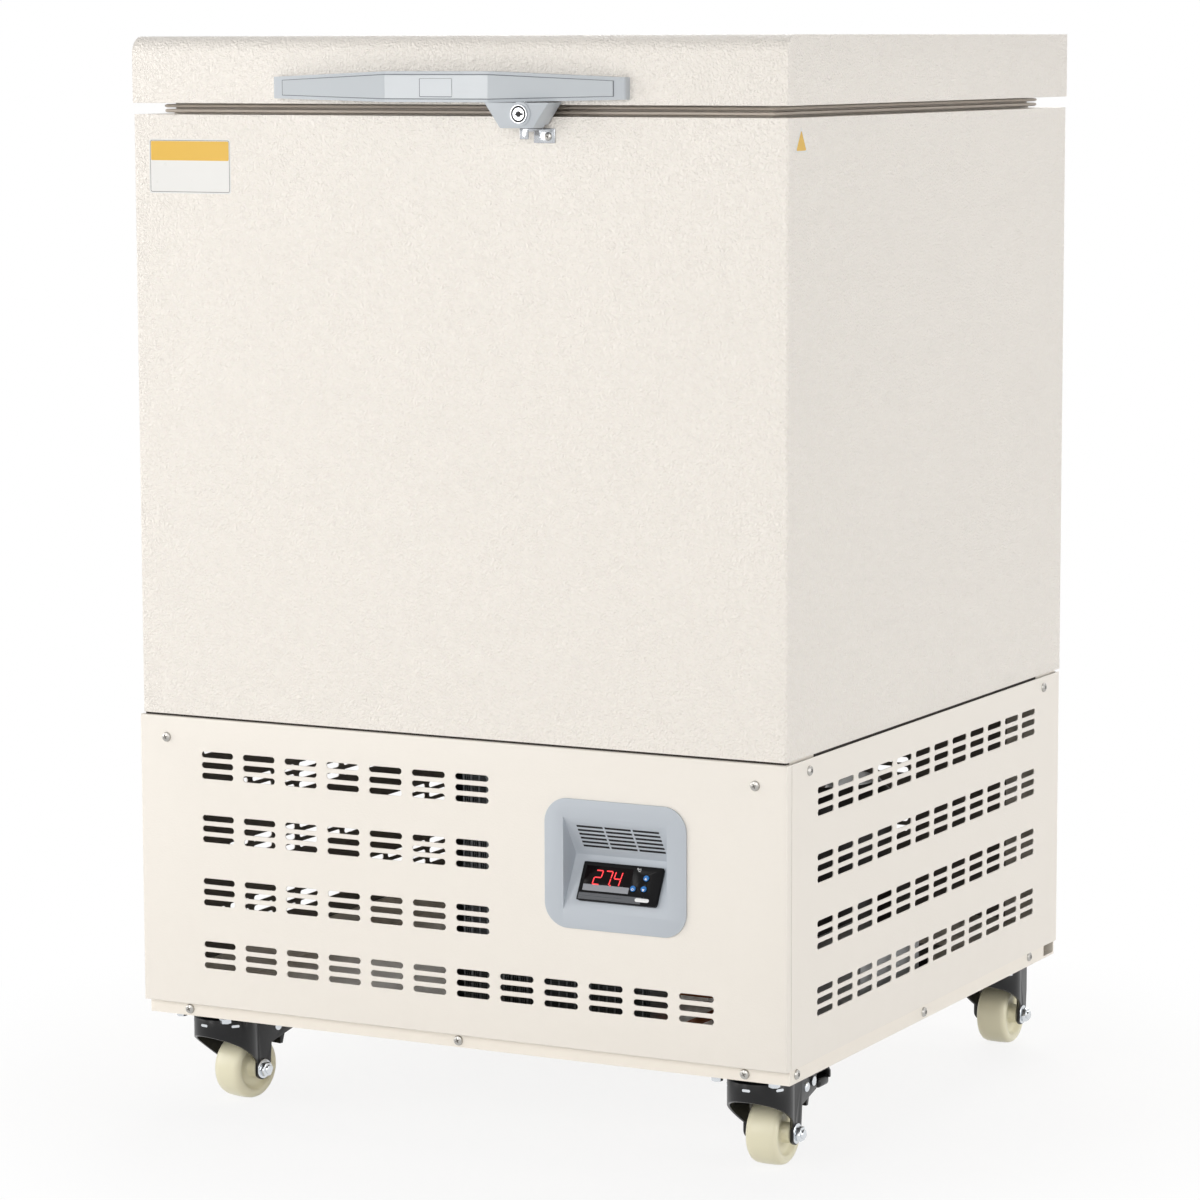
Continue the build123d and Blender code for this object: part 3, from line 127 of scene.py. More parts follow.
def floor():
    """A wide pale floor that keeps a light shadow of the object and fades to white away from it."""
    bm = bmesh.new()
    bmesh.ops.create_grid(bm, x_segments=1, y_segments=1, size=20.0)
    mesh = bpy.data.meshes.new("floor")
    bm.to_mesh(mesh)
    bm.free()
    ground = bpy.data.objects.new("floor", mesh)
    ground.location.z = -0.0002
    bpy.context.scene.collection.objects.link(ground)
    paper = bpy.data.materials.new("paper_floor")
    paper.use_nodes = True
    tree = paper.node_tree
    shader = tree.nodes["Principled BSDF"]
    shader.inputs["Base Color"].default_value = (0.93, 0.93, 0.93, 1)
    shader.inputs["Roughness"].default_value = 0.9
    shader.inputs["Specular IOR Level"].default_value = 0.1
    place = tree.nodes.new("ShaderNodeTexCoord")
    far = tree.nodes.new("ShaderNodeVectorMath")
    far.operation = "LENGTH"
    tree.links.new(place.outputs["Object"], far.inputs[0])
    fade = tree.nodes.new("ShaderNodeMapRange")
    fade.interpolation_type = "SMOOTHSTEP"
    fade.inputs["From Min"].default_value = 0.42
    fade.inputs["From Max"].default_value = 0.75
    fade.inputs["To Min"].default_value = 0.84
    tree.links.new(far.outputs["Value"], fade.inputs["Value"])
    straight, mirrored = background_rays(tree)
    seen = blend_values(tree, "MULTIPLY", fade.outputs["Result"], straight)
    white = tree.nodes.new("ShaderNodeEmission")
    blend = tree.nodes.new("ShaderNodeMixShader")
    tree.links.new(blend_values(tree, "MAXIMUM", seen, mirrored), blend.inputs["Fac"])
    tree.links.new(shader.outputs[0], blend.inputs[1])
    tree.links.new(white.outputs[0], blend.inputs[2])
    tree.links.new(blend.outputs[0], tree.nodes["Material Output"].inputs["Surface"])
    mesh.materials.append(paper)


look_from((1.83138, -3.54982, 0.96535), 27.50, 7.35, -0.16, 130.1)
studio()
floor()
softbox("key_left", (-1.55, -3.35, 1.15), (0.0, 0.0, 0.5), (0.75, 2.0), 22.0, (1.0, 0.985, 0.965))
softbox("front_soft", (0.9, -3.6, 1.5), (0.0, 0.0, 0.4), (2.2, 1.6), 36.0, (1.0, 0.985, 0.965))
softbox("wide_left", (-3.5, -1.7, 1.2), (0.0, 0.0, 0.5), (2.2, 2.2), 44.0, (1.0, 0.985, 0.965))
softbox("side_right", (3.5, 0.3, 0.85), (0.0, 0.0, 0.45), (2.2, 1.7), 38.0, (1.0, 0.985, 0.97))
softbox("top_back", (-0.2, 1.9, 3.0), (0.0, 0.3, 0.9), (2.4, 1.6), 30.0, (1.0, 0.99, 0.975))
softbox("back", (-1.2, 3.4, 1.3), (0.0, 0.0, 0.5), (2.2, 2.0), 42.0, (1.0, 0.99, 0.975))
bpy.context.scene.view_settings.view_transform = "Standard"


# Finishes

def start_group(name, inputs, outputs):
    """An empty shader node group with named float inputs and outputs."""
    group = bpy.data.node_groups.new(name, "ShaderNodeTree")
    for label, value in inputs:
        socket = group.interface.new_socket(name=label, in_out="INPUT", socket_type="NodeSocketFloat")
        socket.default_value = value
    for label in outputs:
        group.interface.new_socket(name=label, in_out="OUTPUT", socket_type="NodeSocketFloat")
    return group, group.nodes.new("NodeGroupInput"), group.nodes.new("NodeGroupOutput")


def grain_group():
    """Fine moulded or painted grain: a height for bump and a tone for colour."""
    group, source, sink = start_group("grain", [("Scale", 900.0), ("Cells", 0.0)], ["Height", "Tone"])
    place = group.nodes.new("ShaderNodeTexCoord")
    noise = group.nodes.new("ShaderNodeTexNoise")
    noise.inputs["Detail"].default_value = 3.0
    cells = group.nodes.new("ShaderNodeTexVoronoi")
    cells.feature = "SMOOTH_F1"
    cells.inputs["Smoothness"].default_value = 0.6
    broad = group.nodes.new("ShaderNodeTexNoise")
    broad.inputs["Scale"].default_value = 4.0
    broad.inputs["Detail"].default_value = 4.0
    for texture in (noise, cells, broad):
        group.links.new(place.outputs["Object"], texture.inputs["Vector"])
    group.links.new(source.outputs["Scale"], noise.inputs["Scale"])
    group.links.new(source.outputs["Scale"], cells.inputs["Scale"])
    lifted = blend_values(group, "MULTIPLY", cells.outputs["Distance"], source.outputs["Cells"])
    height = blend_values(group, "ADD", lifted, noise.outputs[0])
    group.links.new(height, sink.inputs["Height"])
    group.links.new(broad.outputs[0], sink.inputs["Tone"])
    return group


def dust_group():
    """Dust that thins out with height above the floor."""
    group, source, sink = start_group("floor_dust", [("Amount", 0.5), ("Height", 0.12)], ["Mask"])
    place = group.nodes.new("ShaderNodeTexCoord")
    split = group.nodes.new("ShaderNodeSeparateXYZ")
    noise = group.nodes.new("ShaderNodeTexNoise")
    noise.inputs["Scale"].default_value = 60.0
    noise.inputs["Detail"].default_value = 5.0
    group.links.new(place.outputs["Object"], split.inputs[0])
    group.links.new(place.outputs["Object"], noise.inputs["Vector"])
    share = blend_values(group, "DIVIDE", split.outputs["Z"], source.outputs["Height"])
    low = blend_values(group, "SUBTRACT", 1.0, share)
    patchy = blend_values(group, "MULTIPLY", low, noise.outputs[0])
    amount = group.nodes.new("ShaderNodeMath")
    amount.operation = "MULTIPLY"
    amount.use_clamp = True
    group.links.new(patchy, amount.inputs[0])
    group.links.new(source.outputs["Amount"], amount.inputs[1])
    group.links.new(amount.outputs[0], sink.inputs["Mask"])
    return group


def scuff_group():
    """Fine rubbed streaks that change the gloss."""
    group, source, sink = start_group("scuffs", [("Scale", 30.0), ("Along", 1.0), ("Across", 1.0), ("Up", 1.0)],
                                      ["Mask"])
    place = group.nodes.new("ShaderNodeTexCoord")
    stretch = group.nodes.new("ShaderNodeCombineXYZ")
    for axis, label in zip("XYZ", ("Along", "Across", "Up")):
        group.links.new(source.outputs[label], stretch.inputs[axis])
    scaled = group.nodes.new("ShaderNodeVectorMath")
    scaled.operation = "MULTIPLY"
    noise = group.nodes.new("ShaderNodeTexNoise")
    noise.inputs["Detail"].default_value = 6.0
    noise.inputs["Roughness"].default_value = 0.65
    group.links.new(place.outputs["Object"], scaled.inputs[0])
    group.links.new(stretch.outputs[0], scaled.inputs[1])
    group.links.new(scaled.outputs[0], noise.inputs["Vector"])
    group.links.new(source.outputs["Scale"], noise.inputs["Scale"])
    group.links.new(noise.outputs[0], sink.inputs["Mask"])
    return group


grain, dust, scuffs = grain_group(), dust_group(), scuff_group()
dust_colour = (0.42, 0.38, 0.32)


def linear(colour):
    """An sRGB colour of 0 to 255 as linear values."""
    return tuple(((c / 255 + 0.055) / 1.055) ** 2.4 if c > 10 else c / 255 / 12.92 for c in colour) + (1.0,)


def finish_of(name, colour, rough, metal=0.0, coat=0.0, scale=900.0, cells=0.0, bump=0.1, depth=0.0001,
              tone=0.04, dusty=0.0, dust_height=0.12, streak=(1.0, 1.0, 1.0), gloss_change=0.08, specular=0.5):
    """A painted, moulded or metal finish with grain, slow colour change, rubbed gloss and dust."""
    made = bpy.data.materials.new(name)
    made.use_nodes = True
    tree = made.node_tree
    shader = tree.nodes["Principled BSDF"]
    shader.inputs["Metallic"].default_value = metal
    shader.inputs["Coat Weight"].default_value = coat
    shader.inputs["Coat Roughness"].default_value = 0.08
    shader.inputs["Specular IOR Level"].default_value = specular
    base = linear(colour)
    texture = tree.nodes.new("ShaderNodeGroup")
    texture.node_tree = grain
    texture.inputs["Scale"].default_value = scale
    texture.inputs["Cells"].default_value = cells
    rubbed = tree.nodes.new("ShaderNodeGroup")
    rubbed.node_tree = scuffs
    for label, value in zip(("Along", "Across", "Up"), streak):
        rubbed.inputs[label].default_value = value
    shade = tree.nodes.new("ShaderNodeMix")
    shade.data_type = "RGBA"
    shade.inputs["A"].default_value = tuple(c * (1 - tone) for c in base[:3]) + (1.0,)
    shade.inputs["B"].default_value = tuple(min(1.0, c * (1 + tone)) for c in base[:3]) + (1.0,)
    tree.links.new(texture.outputs["Tone"], shade.inputs["Factor"])
    dusted = tree.nodes.new("ShaderNodeMix")
    dusted.data_type = "RGBA"
    dusted.inputs["B"].default_value = dust_colour + (1.0,)
    fallen = tree.nodes.new("ShaderNodeGroup")
    fallen.node_tree = dust
    fallen.inputs["Amount"].default_value = dusty
    fallen.inputs["Height"].default_value = dust_height
    tree.links.new(fallen.outputs["Mask"], dusted.inputs["Factor"])
    tree.links.new(shade.outputs["Result"], dusted.inputs["A"])
    tree.links.new(dusted.outputs["Result"], shader.inputs["Base Color"])
    centred = blend_values(tree, "SUBTRACT", rubbed.outputs["Mask"], 0.5)
    swing = blend_values(tree, "MULTIPLY", centred, gloss_change * 2)
    matted = blend_values(tree, "ADD", swing, rough)
    tree.links.new(matted, shader.inputs["Roughness"])
    relief = tree.nodes.new("ShaderNodeBump")
    relief.inputs["Strength"].default_value = bump
    relief.inputs["Distance"].default_value = depth
    tree.links.new(texture.outputs["Height"], relief.inputs["Height"])
    tree.links.new(relief.outputs["Normal"], shader.inputs["Normal"])
    return made


enamel = finish_of("white_enamel", (240, 235, 228), 0.34, scale=520.0, cells=2.0, bump=0.7, depth=0.0009,
                   tone=0.01)
panel_enamel = finish_of("panel_enamel", (239, 234, 226), 0.42, scale=620.0, cells=0.8, bump=0.16,
                         depth=0.0005, tone=0.012, dusty=0.08, dust_height=0.25)
chassis = finish_of("chassis_paint", (243, 237, 227), 0.42, scale=600.0, bump=0.08, tone=0.02, dusty=0.12,
                    dust_height=0.18)
grey_plastic = finish_of("grey_plastic", (187, 193, 199), 0.3, scale=1800.0, bump=0.08, tone=0.02)
bezel_plastic = finish_of("bezel_plastic", (186, 193, 201), 0.46, scale=1500.0, cells=0.5, bump=0.22, tone=0.02)
face_plastic = finish_of("fascia_plastic", (191, 197, 202), 0.16, scale=2200.0, bump=0.03, tone=0.015)
seal = finish_of("seal_rubber", (202, 193, 183), 0.38, scale=1500.0, bump=0.05, tone=0.03)
chrome = finish_of("bright_chrome", (190, 193, 197), 0.16, metal=0.85, scale=400.0, bump=0.03, tone=0.02)
zinc = finish_of("zinc_plate", (214, 218, 222), 0.24, metal=1.0, scale=700.0, cells=0.6, bump=0.08, tone=0.06,
                 dusty=0.06)
screw_steel = finish_of("screw_steel", (178, 176, 172), 0.3, metal=1.0, scale=900.0, bump=0.1, tone=0.08)
stainless = finish_of("tank_steel", (198, 200, 202), 0.32, metal=1.0, scale=600.0, bump=0.03, tone=0.03,
                      streak=(1.0, 1.0, 40.0), gloss_change=0.16)
white_plastic = finish_of("white_plastic", (232, 232, 228), 0.4, scale=1400.0, bump=0.1, tone=0.015)
foam = finish_of("foam", (226, 212, 170), 0.9, scale=300.0, cells=1.0, bump=0.5, depth=0.001, tone=0.06)
copper = finish_of("copper_tube", (198, 124, 84), 0.32, metal=1.0, scale=300.0, bump=0.05, tone=0.14)
aluminium = finish_of("fin_aluminium", (172, 175, 178), 0.38, metal=1.0, scale=500.0, bump=0.06, tone=0.08)
black_paint = finish_of("black_paint", (30, 30, 32), 0.3, coat=0.3, scale=700.0, bump=0.1, tone=0.1, dusty=0.35,
                        dust_height=0.4)
fork_paint = finish_of("fork_paint", (17, 17, 19), 0.3, coat=0.08, scale=420.0, cells=0.6, bump=0.12,
                       depth=0.0004, tone=0.1, dusty=0.03, dust_height=0.06, specular=0.3)
black_plastic = finish_of("black_plastic", (28, 28, 30), 0.34, scale=1600.0, bump=0.12, tone=0.08)
gloss_black = finish_of("controller_black", (12, 12, 14), 0.2, scale=1600.0, bump=0.03, tone=0.06,
                        specular=0.12)
strip_grey = finish_of("controller_strip", (84, 86, 90), 0.3, metal=0.4, scale=2500.0, bump=0.1, tone=0.1,
                       streak=(1.0, 30.0, 30.0), gloss_change=0.2)
window_red = finish_of("display_tint", (14, 6, 7), 0.12, scale=1600.0, bump=0.0, tone=0.05, specular=0.1)
# grey painted on the display window as the glare of a reflection
painted_glare_grey = finish_of("display_painted_glare", (150, 152, 158), 0.14, scale=1600.0, bump=0.0, tone=0.05)
button_blue = finish_of("button_blue", (30, 118, 196), 0.22, coat=0.3, scale=1600.0, bump=0.05, tone=0.06)
mark_white = finish_of("mark_white", (236, 237, 238), 0.4, scale=1600.0, bump=0.02, tone=0.01)
mark_black = finish_of("mark_black", (34, 33, 34), 0.4, scale=1600.0, bump=0.02, tone=0.02)
label_white = finish_of("label_white", (228, 228, 226), 0.3, scale=1200.0, bump=0.02, tone=0.01)
label_amber = finish_of("label_amber", (224, 180, 66), 0.3, scale=1200.0, bump=0.02, tone=0.02)
nylon = finish_of("wheel_nylon", (234, 229, 201), 0.32, scale=500.0, bump=0.1, depth=0.0003, tone=0.04,
                  dusty=0.08, dust_height=0.04)
mount_rubber = finish_of("mount_rubber", (32, 31, 31), 0.7, scale=1200.0, bump=0.3, tone=0.1)
box_paint = finish_of("box_paint", (196, 198, 200), 0.5, scale=800.0, bump=0.1, tone=0.03)
panel_back = finish_of("panel_back", (118, 113, 106), 0.55, scale=700.0, bump=0.1, tone=0.06)
# dark grey painted as shadow lines round the handle's centre panel and its plate
painted_shadow_line = finish_of("painted_shadow_line", (108, 113, 119), 0.5, scale=1400.0, bump=0.05, tone=0.04)
# dark brown-grey of the strip painted as the shadow in the gap under the cabinet
gap_shadow_paint = finish_of("gap_shadow_paint", (52, 47, 43), 0.85, scale=900.0, bump=0.3, tone=0.08)
# near-black painted as the shade inside the grille's slots, the lock's groove and its key way
hole_shade_paint = finish_of("painted_recess_shade", (16, 16, 17), 0.7, scale=1200.0, bump=0.1, tone=0.05)


def lit_red():
    """The red of lit display segments."""
    made = finish_of("segment_red", (240, 48, 52), 0.4, scale=1600.0, bump=0.0, tone=0.02)
    shader = made.node_tree.nodes["Principled BSDF"]
    shader.inputs["Emission Color"].default_value = (1.0, 0.05, 0.06, 1)
    shader.inputs["Emission Strength"].default_value = 0.9
    return made


segment_red = lit_red()


# Making pieces

def piece(name, bm, material, body, stands_for=(), hard=30.0):
    """Turn a bmesh into a named piece on a body, keeping its hard edges."""
    for face in bm.faces:
        face.smooth = True
    for edge in bm.edges:
        edge.smooth = len(edge.link_faces) == 2 and edge.calc_face_angle(0.0) < math.radians(hard)
    mesh = bpy.data.meshes.new(name)
    bm.to_mesh(mesh)
    bm.free()
    made = bpy.data.objects.new(name, mesh)
    bpy.context.scene.collection.objects.link(made)
    mesh.materials.append(material)
    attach(made, body)
    if stands_for:
        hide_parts(*stands_for)
    return made


def node_copy(node):
    """A bmesh of a CAD node with its corners merged and its flat faces whole."""
    bm = bmesh.new()
    bm.from_mesh(nodes[node].data)
    bmesh.ops.remove_doubles(bm, verts=bm.verts, dist=0.00001)
    bmesh.ops.dissolve_limit(bm, angle_limit=math.radians(1.0), verts=bm.verts, edges=bm.edges)
    return bm


def round_edges(bm, radius, segments=2, over=35.0, chosen=None):
    """Round the edges that turn by more than an angle, and that a test picks."""
    edges = [e for e in bm.edges if len(e.link_faces) == 2
             and e.calc_face_angle(0.0) > math.radians(over) and (chosen is None or chosen(e))]
    bmesh.ops.bevel(bm, geom=edges, offset=radius, offset_type="OFFSET", affect="EDGES", segments=segments,
                    profile=0.5, material=-1, clamp_overlap=True)


def softened(node, radius, material, body, segments=2, over=35.0, hard=40.0):
    """A CAD node's shape with its edges rounded, shown in place of the node."""
    bm = node_copy(node)
    round_edges(bm, radius, segments, over)
    return piece(node + "_finished", bm, material, body, (node,), hard)


def facing(origin, right, up=(0, 0, 1)):
    """The matrix from a flat drawing to a plane given by its right and up."""
    right, up = Vector(right).normalized(), Vector(up).normalized()
    out = right.cross(up)
    return Matrix(((right.x, up.x, out.x, origin[0]), (right.y, up.y, out.y, origin[1]),
                   (right.z, up.z, out.z, origin[2]), (0, 0, 0, 1)))


def rounded(bm, x, y, width, height, corner, steps=16):
    """Edges of a rectangle with round corners."""
    ring = bmesh.ops.create_circle(bm, cap_ends=False, segments=steps, radius=corner)["verts"]
    bmesh.ops.rotate(bm, verts=ring, cent=(0, 0, 0), matrix=Matrix.Rotation(math.pi / steps, 3, "Z"))
    for v in ring:
        v.co.x += x + math.copysign(width / 2 - corner, v.co.x)
        v.co.y += y + math.copysign(height / 2 - corner, v.co.y)


def capsule(bm, x, y, length, width):
    """Edges of a slot with round ends."""
    rounded(bm, x, y, length, width, width / 2)


def rectangle(bm, x, y, width, height):
    """Edges of a rectangle."""
    rounded(bm, x, y, width, height, 0.00001, 4)


def filled(bm):
    """Fill the outermost outline, leaving the outlines inside it open, facing up."""
    bmesh.ops.triangle_fill(bm, use_beauty=True, use_dissolve=False, edges=bm.edges, normal=(0, 0, 1))
    bmesh.ops.recalc_face_normals(bm, faces=bm.faces)
    if bm.faces[:] and sum(f.normal.z for f in bm.faces) < 0:
        bmesh.ops.reverse_faces(bm, faces=bm.faces)


def thickened(bm, thick):
    """Give a flat drawing a thickness behind its face."""
    grown = bmesh.ops.extrude_face_region(bm, geom=bm.faces[:])
    bmesh.ops.translate(bm, vec=(0, 0, -thick), verts=[v for v in grown["geom"]
                                                       if isinstance(v, bmesh.types.BMVert)])
    bmesh.ops.recalc_face_normals(bm, faces=bm.faces)


def turned(bm, outline, steps=32, angle=2 * math.pi):
    """Spin an outline of (radius, height) points round the local Z axis."""
    verts = [bm.verts.new((r, 0, z)) for r, z in outline]
    edges = [bm.edges.new(pair) for pair in zip(verts, verts[1:])]
    bmesh.ops.spin(bm, geom=verts + edges, cent=(0, 0, 0), axis=(0, 0, 1), angle=angle, steps=steps,
                   use_merge=True, use_duplicate=False)
    bmesh.ops.remove_doubles(bm, verts=bm.verts, dist=0.000001)
    bmesh.ops.recalc_face_normals(bm, faces=bm.faces)


def copied(target, source, places):
    """Add a copy of a small shape to a larger bmesh at each place."""
    mesh = bpy.data.meshes.new("pattern")
    source.to_mesh(mesh)
    for place in places:
        before = len(target.verts)
        target.from_mesh(mesh)
        target.verts.ensure_lookup_table()
        bmesh.ops.transform(target, matrix=place, verts=target.verts[before:])
    bpy.data.meshes.remove(mesh)


# Base panels with round-ended slots

slot_long, slot_high = 33.0 * mm, 5.6 * mm
slot_line = 9.65 * mm
slot_row = 57.7 * mm
slot_columns = 12
front_pitch, front_shift = 43.4 * mm, -1.5 * mm
side_pitch, side_shift = 41.8 * mm, -4.5 * mm
panel_low, panel_high = 102.2 * mm, 364.5 * mm
panel_middle = (panel_low + panel_high) / 2
front_base = panel_low + 47.3 * mm - panel_middle
side_base = panel_low + 49.5 * mm - panel_middle
front_face, side_face, rear_face = -312.45 * mm, 321.8 * mm, 300.2 * mm


def slot_places(columns, first, pitch, shift, base, rows):
    """Slot centres: rows of groups of three lines, as in the CAD panels."""
    return [(shift + (first + c - (slot_columns - 1) / 2) * pitch, base + r * slot_row + (line - 1) * slot_line)
            for r in rows for line in range(3) for c in range(columns)]


def slotted_sheet(width, height, slots, cutouts=()):
    """A flat sheet with slots and other openings, centred on its drawing."""
    bm = bmesh.new()
    rectangle(bm, 0, 0, width, height)
    for x, y in slots:
        capsule(bm, x, y, slot_long, slot_high)
    for x, y, wide, high in cutouts:
        rectangle(bm, x, y, wide, high)
    filled(bm)
    return bm


def sheet_metal(made, thick=1.2 * mm, edge=0.35 * mm):
    """Give a sheet its thickness and slightly rounded punched edges."""
    wall = made.modifiers.new("thickness", "SOLIDIFY")
    wall.thickness = thick
    wall.offset = -1.0
    wall.use_even_offset = True
    wall.material_offset = 1
    made.data.materials.append(panel_back)
    rim = made.modifiers.new("edges", "BEVEL")
    rim.width = edge
    rim.segments = 2
    rim.limit_method = "ANGLE"
    rim.angle_limit = math.radians(60)


def front_sheet():
    """The front panel: slotted face with its four edges folded back."""
    fold = 1.6 * mm
    places = slot_places(slot_columns, 0, front_pitch, front_shift, front_base, [0])
    places += slot_places(7, 0, front_pitch, front_shift, front_base, [1, 2, 3])
    opening = (160.5 * mm, 265.2 * mm - panel_middle, 105.1 * mm, 86.6 * mm)
    bm = slotted_sheet(2 * (side_face - fold), panel_high - panel_low - 2 * fold, places, [opening])
    reach = side_face - fold - 0.1 * mm
    edges = [e for e in bm.edges if e.is_boundary and all(
        abs(v.co.x) > reach or abs(v.co.y) > (panel_high - panel_low) / 2 - fold - 0.1 * mm for v in e.verts)]
    steps = [(fold * math.sin(a), fold * (1 - math.cos(a))) for a in (math.pi / 8 * k for k in range(1, 5))]
    steps.append((fold, 9.0 * mm))
    out_before, back_before = 0.0, 0.0
    for out, back in steps:
        grown = bmesh.ops.extrude_edge_only(bm, edges=edges)["geom"]
        edges = [g for g in grown if isinstance(g, bmesh.types.BMEdge)]
        for v in {v for e in edges for v in e.verts}:
            v.co.x += math.copysign(out - out_before, v.co.x)
            v.co.y += math.copysign(out - out_before, v.co.y)
            v.co.z -= back - back_before
        out_before, back_before = out, back
    bmesh.ops.transform(bm, matrix=facing((0, front_face, panel_middle), (1, 0, 0)), verts=bm.verts)
    sheet_metal(piece("front_panel_sheet", bm, panel_enamel, "cabinet", ("front_panel",)))


def side_sheets():
    """Left and right panels: flat slotted sheets."""
    low, high = -302.65 * mm, 302.4 * mm
    middle = (low + high) / 2
    slots = slot_places(slot_columns, 0, side_pitch, side_shift, side_base, range(4))
    for name, side in (("left_panel", -1), ("right_panel", 1)):
        cutouts = []
        if side < 0:  # the power switch
            cutouts = [(292.15 * mm + middle, 266.5 * mm - panel_middle, 13.4 * mm, 19.6 * mm)]
        bm = slotted_sheet(high - low, panel_high - panel_low, [(side * (x - middle), y) for x, y in slots],
                           cutouts)
        bmesh.ops.transform(bm, matrix=facing((side * side_face, middle, panel_middle), (0, side, 0)),
                            verts=bm.verts)
        sheet_metal(piece(name + "_sheet", bm, panel_enamel, "cabinet", (name,)))


def rear_sheet():
    """The rear panel, with the opening for the mains inlet."""
    slots = slot_places(8, 2, front_pitch, front_shift, side_base, [1, 2, 3])
    cutouts = [(250.0 * mm, 147.2 * mm - panel_middle, 38.6 * mm, 21.6 * mm)]
    bm = slotted_sheet(641.2 * mm, panel_high - panel_low, [(-x, y) for x, y in slots], cutouts)
    bmesh.ops.transform(bm, matrix=facing((0, rear_face, panel_middle), (-1, 0, 0)), verts=bm.verts)
    sheet_metal(piece("rear_panel_sheet", bm, panel_enamel, "cabinet", ("rear_panel",)))


def painted_gap_shadow():
    """A dark strip on the panels' top edges, under the cabinet: painted shadow in the gap between the panels and
    the cabinet.
    """
    bm = bmesh.new()
    rectangle(bm, 0, -5.5 * mm, 636.0 * mm, 606.0 * mm)
    rectangle(bm, 0, -5.5 * mm, 626.0 * mm, 596.0 * mm)
    filled(bm)
    thickened(bm, 5.6 * mm)
    bmesh.ops.transform(bm, matrix=Matrix.Translation((0, 0, 366.7 * mm)), verts=bm.verts)
    piece("painted_gap_shadow", bm, gap_shadow_paint, "cabinet")


def condenser_fins():
    """The condenser's close fins, between its tube plates."""
    low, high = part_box("condenser")
    fin = bmesh.new()
    bmesh.ops.create_cube(fin, size=1.0, matrix=Matrix.Diagonal(
        (0.35 * mm, high[1] - low[1] - 3.0 * mm, high[2] - low[2] - 6.0 * mm, 1)))
    bm = bmesh.new()
    copied(bm, fin, [Matrix.Translation((x * mm, (low[1] + high[1]) / 2, (low[2] + high[2]) / 2))
                     for x in range(round(low[0] / mm) + 14, round(high[0] / mm) - 12, 2)])
    fin.free()
    piece("condenser_fins", bm, aluminium, "cabinet")


front_sheet()
side_sheets()
rear_sheet()
painted_gap_shadow()
condenser_fins()


# Screws

def pan_head(radius, height):
    """A pan head with a cross recess, facing up, cut with a boolean."""
    bm = bmesh.new()
    turned(bm, [(on_axis, height), (radius * 0.5, height * 0.93), (radius * 0.86, height * 0.66),
                (radius, height * 0.2), (radius, 0.0), (on_axis, 0.0)], steps=24)
    mesh = bpy.data.meshes.new("pan_head")
    bm.to_mesh(mesh)
    bm.clear()
    arm = radius * 0.95
    for wide, tall in ((arm, radius * 0.24), (radius * 0.24, arm)):
        bmesh.ops.create_cube(bm, size=1.0, matrix=Matrix.Translation((0, 0, height)) @ Matrix.Diagonal(
            (wide, tall, height * 1.1, 1)))
    bmesh.ops.bevel(bm, geom=bm.edges[:], offset=radius * 0.03, offset_type="OFFSET", affect="EDGES",
                    segments=1, profile=0.5, material=-1)
    cutter_mesh = bpy.data.meshes.new("cross_cutter")
    bm.to_mesh(cutter_mesh)
    bm.free()
    head = bpy.data.objects.new("pan_head", mesh)
    cutter = bpy.data.objects.new("cross_cutter", cutter_mesh)
    for made in (head, cutter):
        bpy.context.scene.collection.objects.link(made)
    cut = head.modifiers.new("cross", "BOOLEAN")
    cut.operation = "DIFFERENCE"
    cut.use_self = True
    cut.object = cutter
    bpy.context.view_layer.update()
    shape = bmesh.new()
    shape.from_mesh(bpy.data.meshes.new_from_object(head.evaluated_get(
        bpy.context.evaluated_depsgraph_get())))
    for made in (head, cutter):
        bpy.data.objects.remove(made)
    return shape


def panel_screws():
    """Screws of the front and side panels and of the skirt, all the way round."""
    head = pan_head(4.5 * mm, 2.6 * mm)
    bm = bmesh.new()
    turn = Matrix.Rotation(0.5, 4, "Z")
    skirt_front, skirt_side = -303.45 * mm, 320.6 * mm
    places = [facing((x * mm, front_face, z * mm), (1, 0, 0)) for x, z in ((-293.6, 345.5), (292.0, 345.9))]
    places += [facing((x * mm, skirt_front, 95.6 * mm), (1, 0, 0)) for x in (-278.7, 0.3, 278.6)]
    for side in (-1, 1):
        places += [facing((side * side_face, y * mm, 354.4 * mm), (0, side, 0)) for y in (-268.4, 262.5)]
        places += [facing((side * skirt_side, y * mm, z * mm), (0, side, 0)) for y, z in
                   ((-290, 97.0), (-18, 96.0), (235, 98.5))]
    places += [facing((x * mm, rear_face, z * mm), (-1, 0, 0)) for x in (-290, 290) for z in (352, 116)]
    copied(bm, head, [p @ turn for p in places])
    piece("panel_screws", bm, screw_steel, "cabinet")
    head.free()


panel_screws()


# Lid, cabinet and seal

def seal_frame():
    """The seal: a two-lobed profile carried round the lid with mitred corners."""
    outline = [(6.0, 0.0), (6.0, 0.9), (1.6, 1.1), (0.3, 1.7), (0.0, 2.8), (0.4, 3.9), (1.8, 4.3), (7.0, 4.4),
               (7.0, 5.4), (1.6, 5.5), (0.1, 6.1), (-0.3, 7.1), (0.2, 8.0), (1.6, 8.5), (7.0, 8.7), (7.0, 9.7),
               (14.0, 9.7), (14.0, 0.0)]
    low = Vector((-298.5 * mm, -291.5 * mm, 902.1 * mm))
    high = Vector((298.5 * mm, 288.0 * mm, 902.1 * mm))
    bm = bmesh.new()
    loops = []
    for side_x, side_y in ((-1, -1), (1, -1), (1, 1), (-1, 1)):
        corner = Vector((low.x if side_x < 0 else high.x, low.y if side_y < 0 else high.y, low.z))
        verts = [bm.verts.new(corner + Vector((-side_x * o * mm, -side_y * o * mm, z * mm)))
                 for o, z in outline]
        loops.append([bm.edges.new(pair) for pair in zip(verts, verts[1:] + verts[:1])])
    for a, b in zip(loops, loops[1:] + loops[:1]):
        bmesh.ops.bridge_loops(bm, edges=a + b)
    bmesh.ops.recalc_face_normals(bm, faces=bm.faces)
    piece("lid_seal", bm, seal, "lid", ("lid_gasket",), hard=38.0)


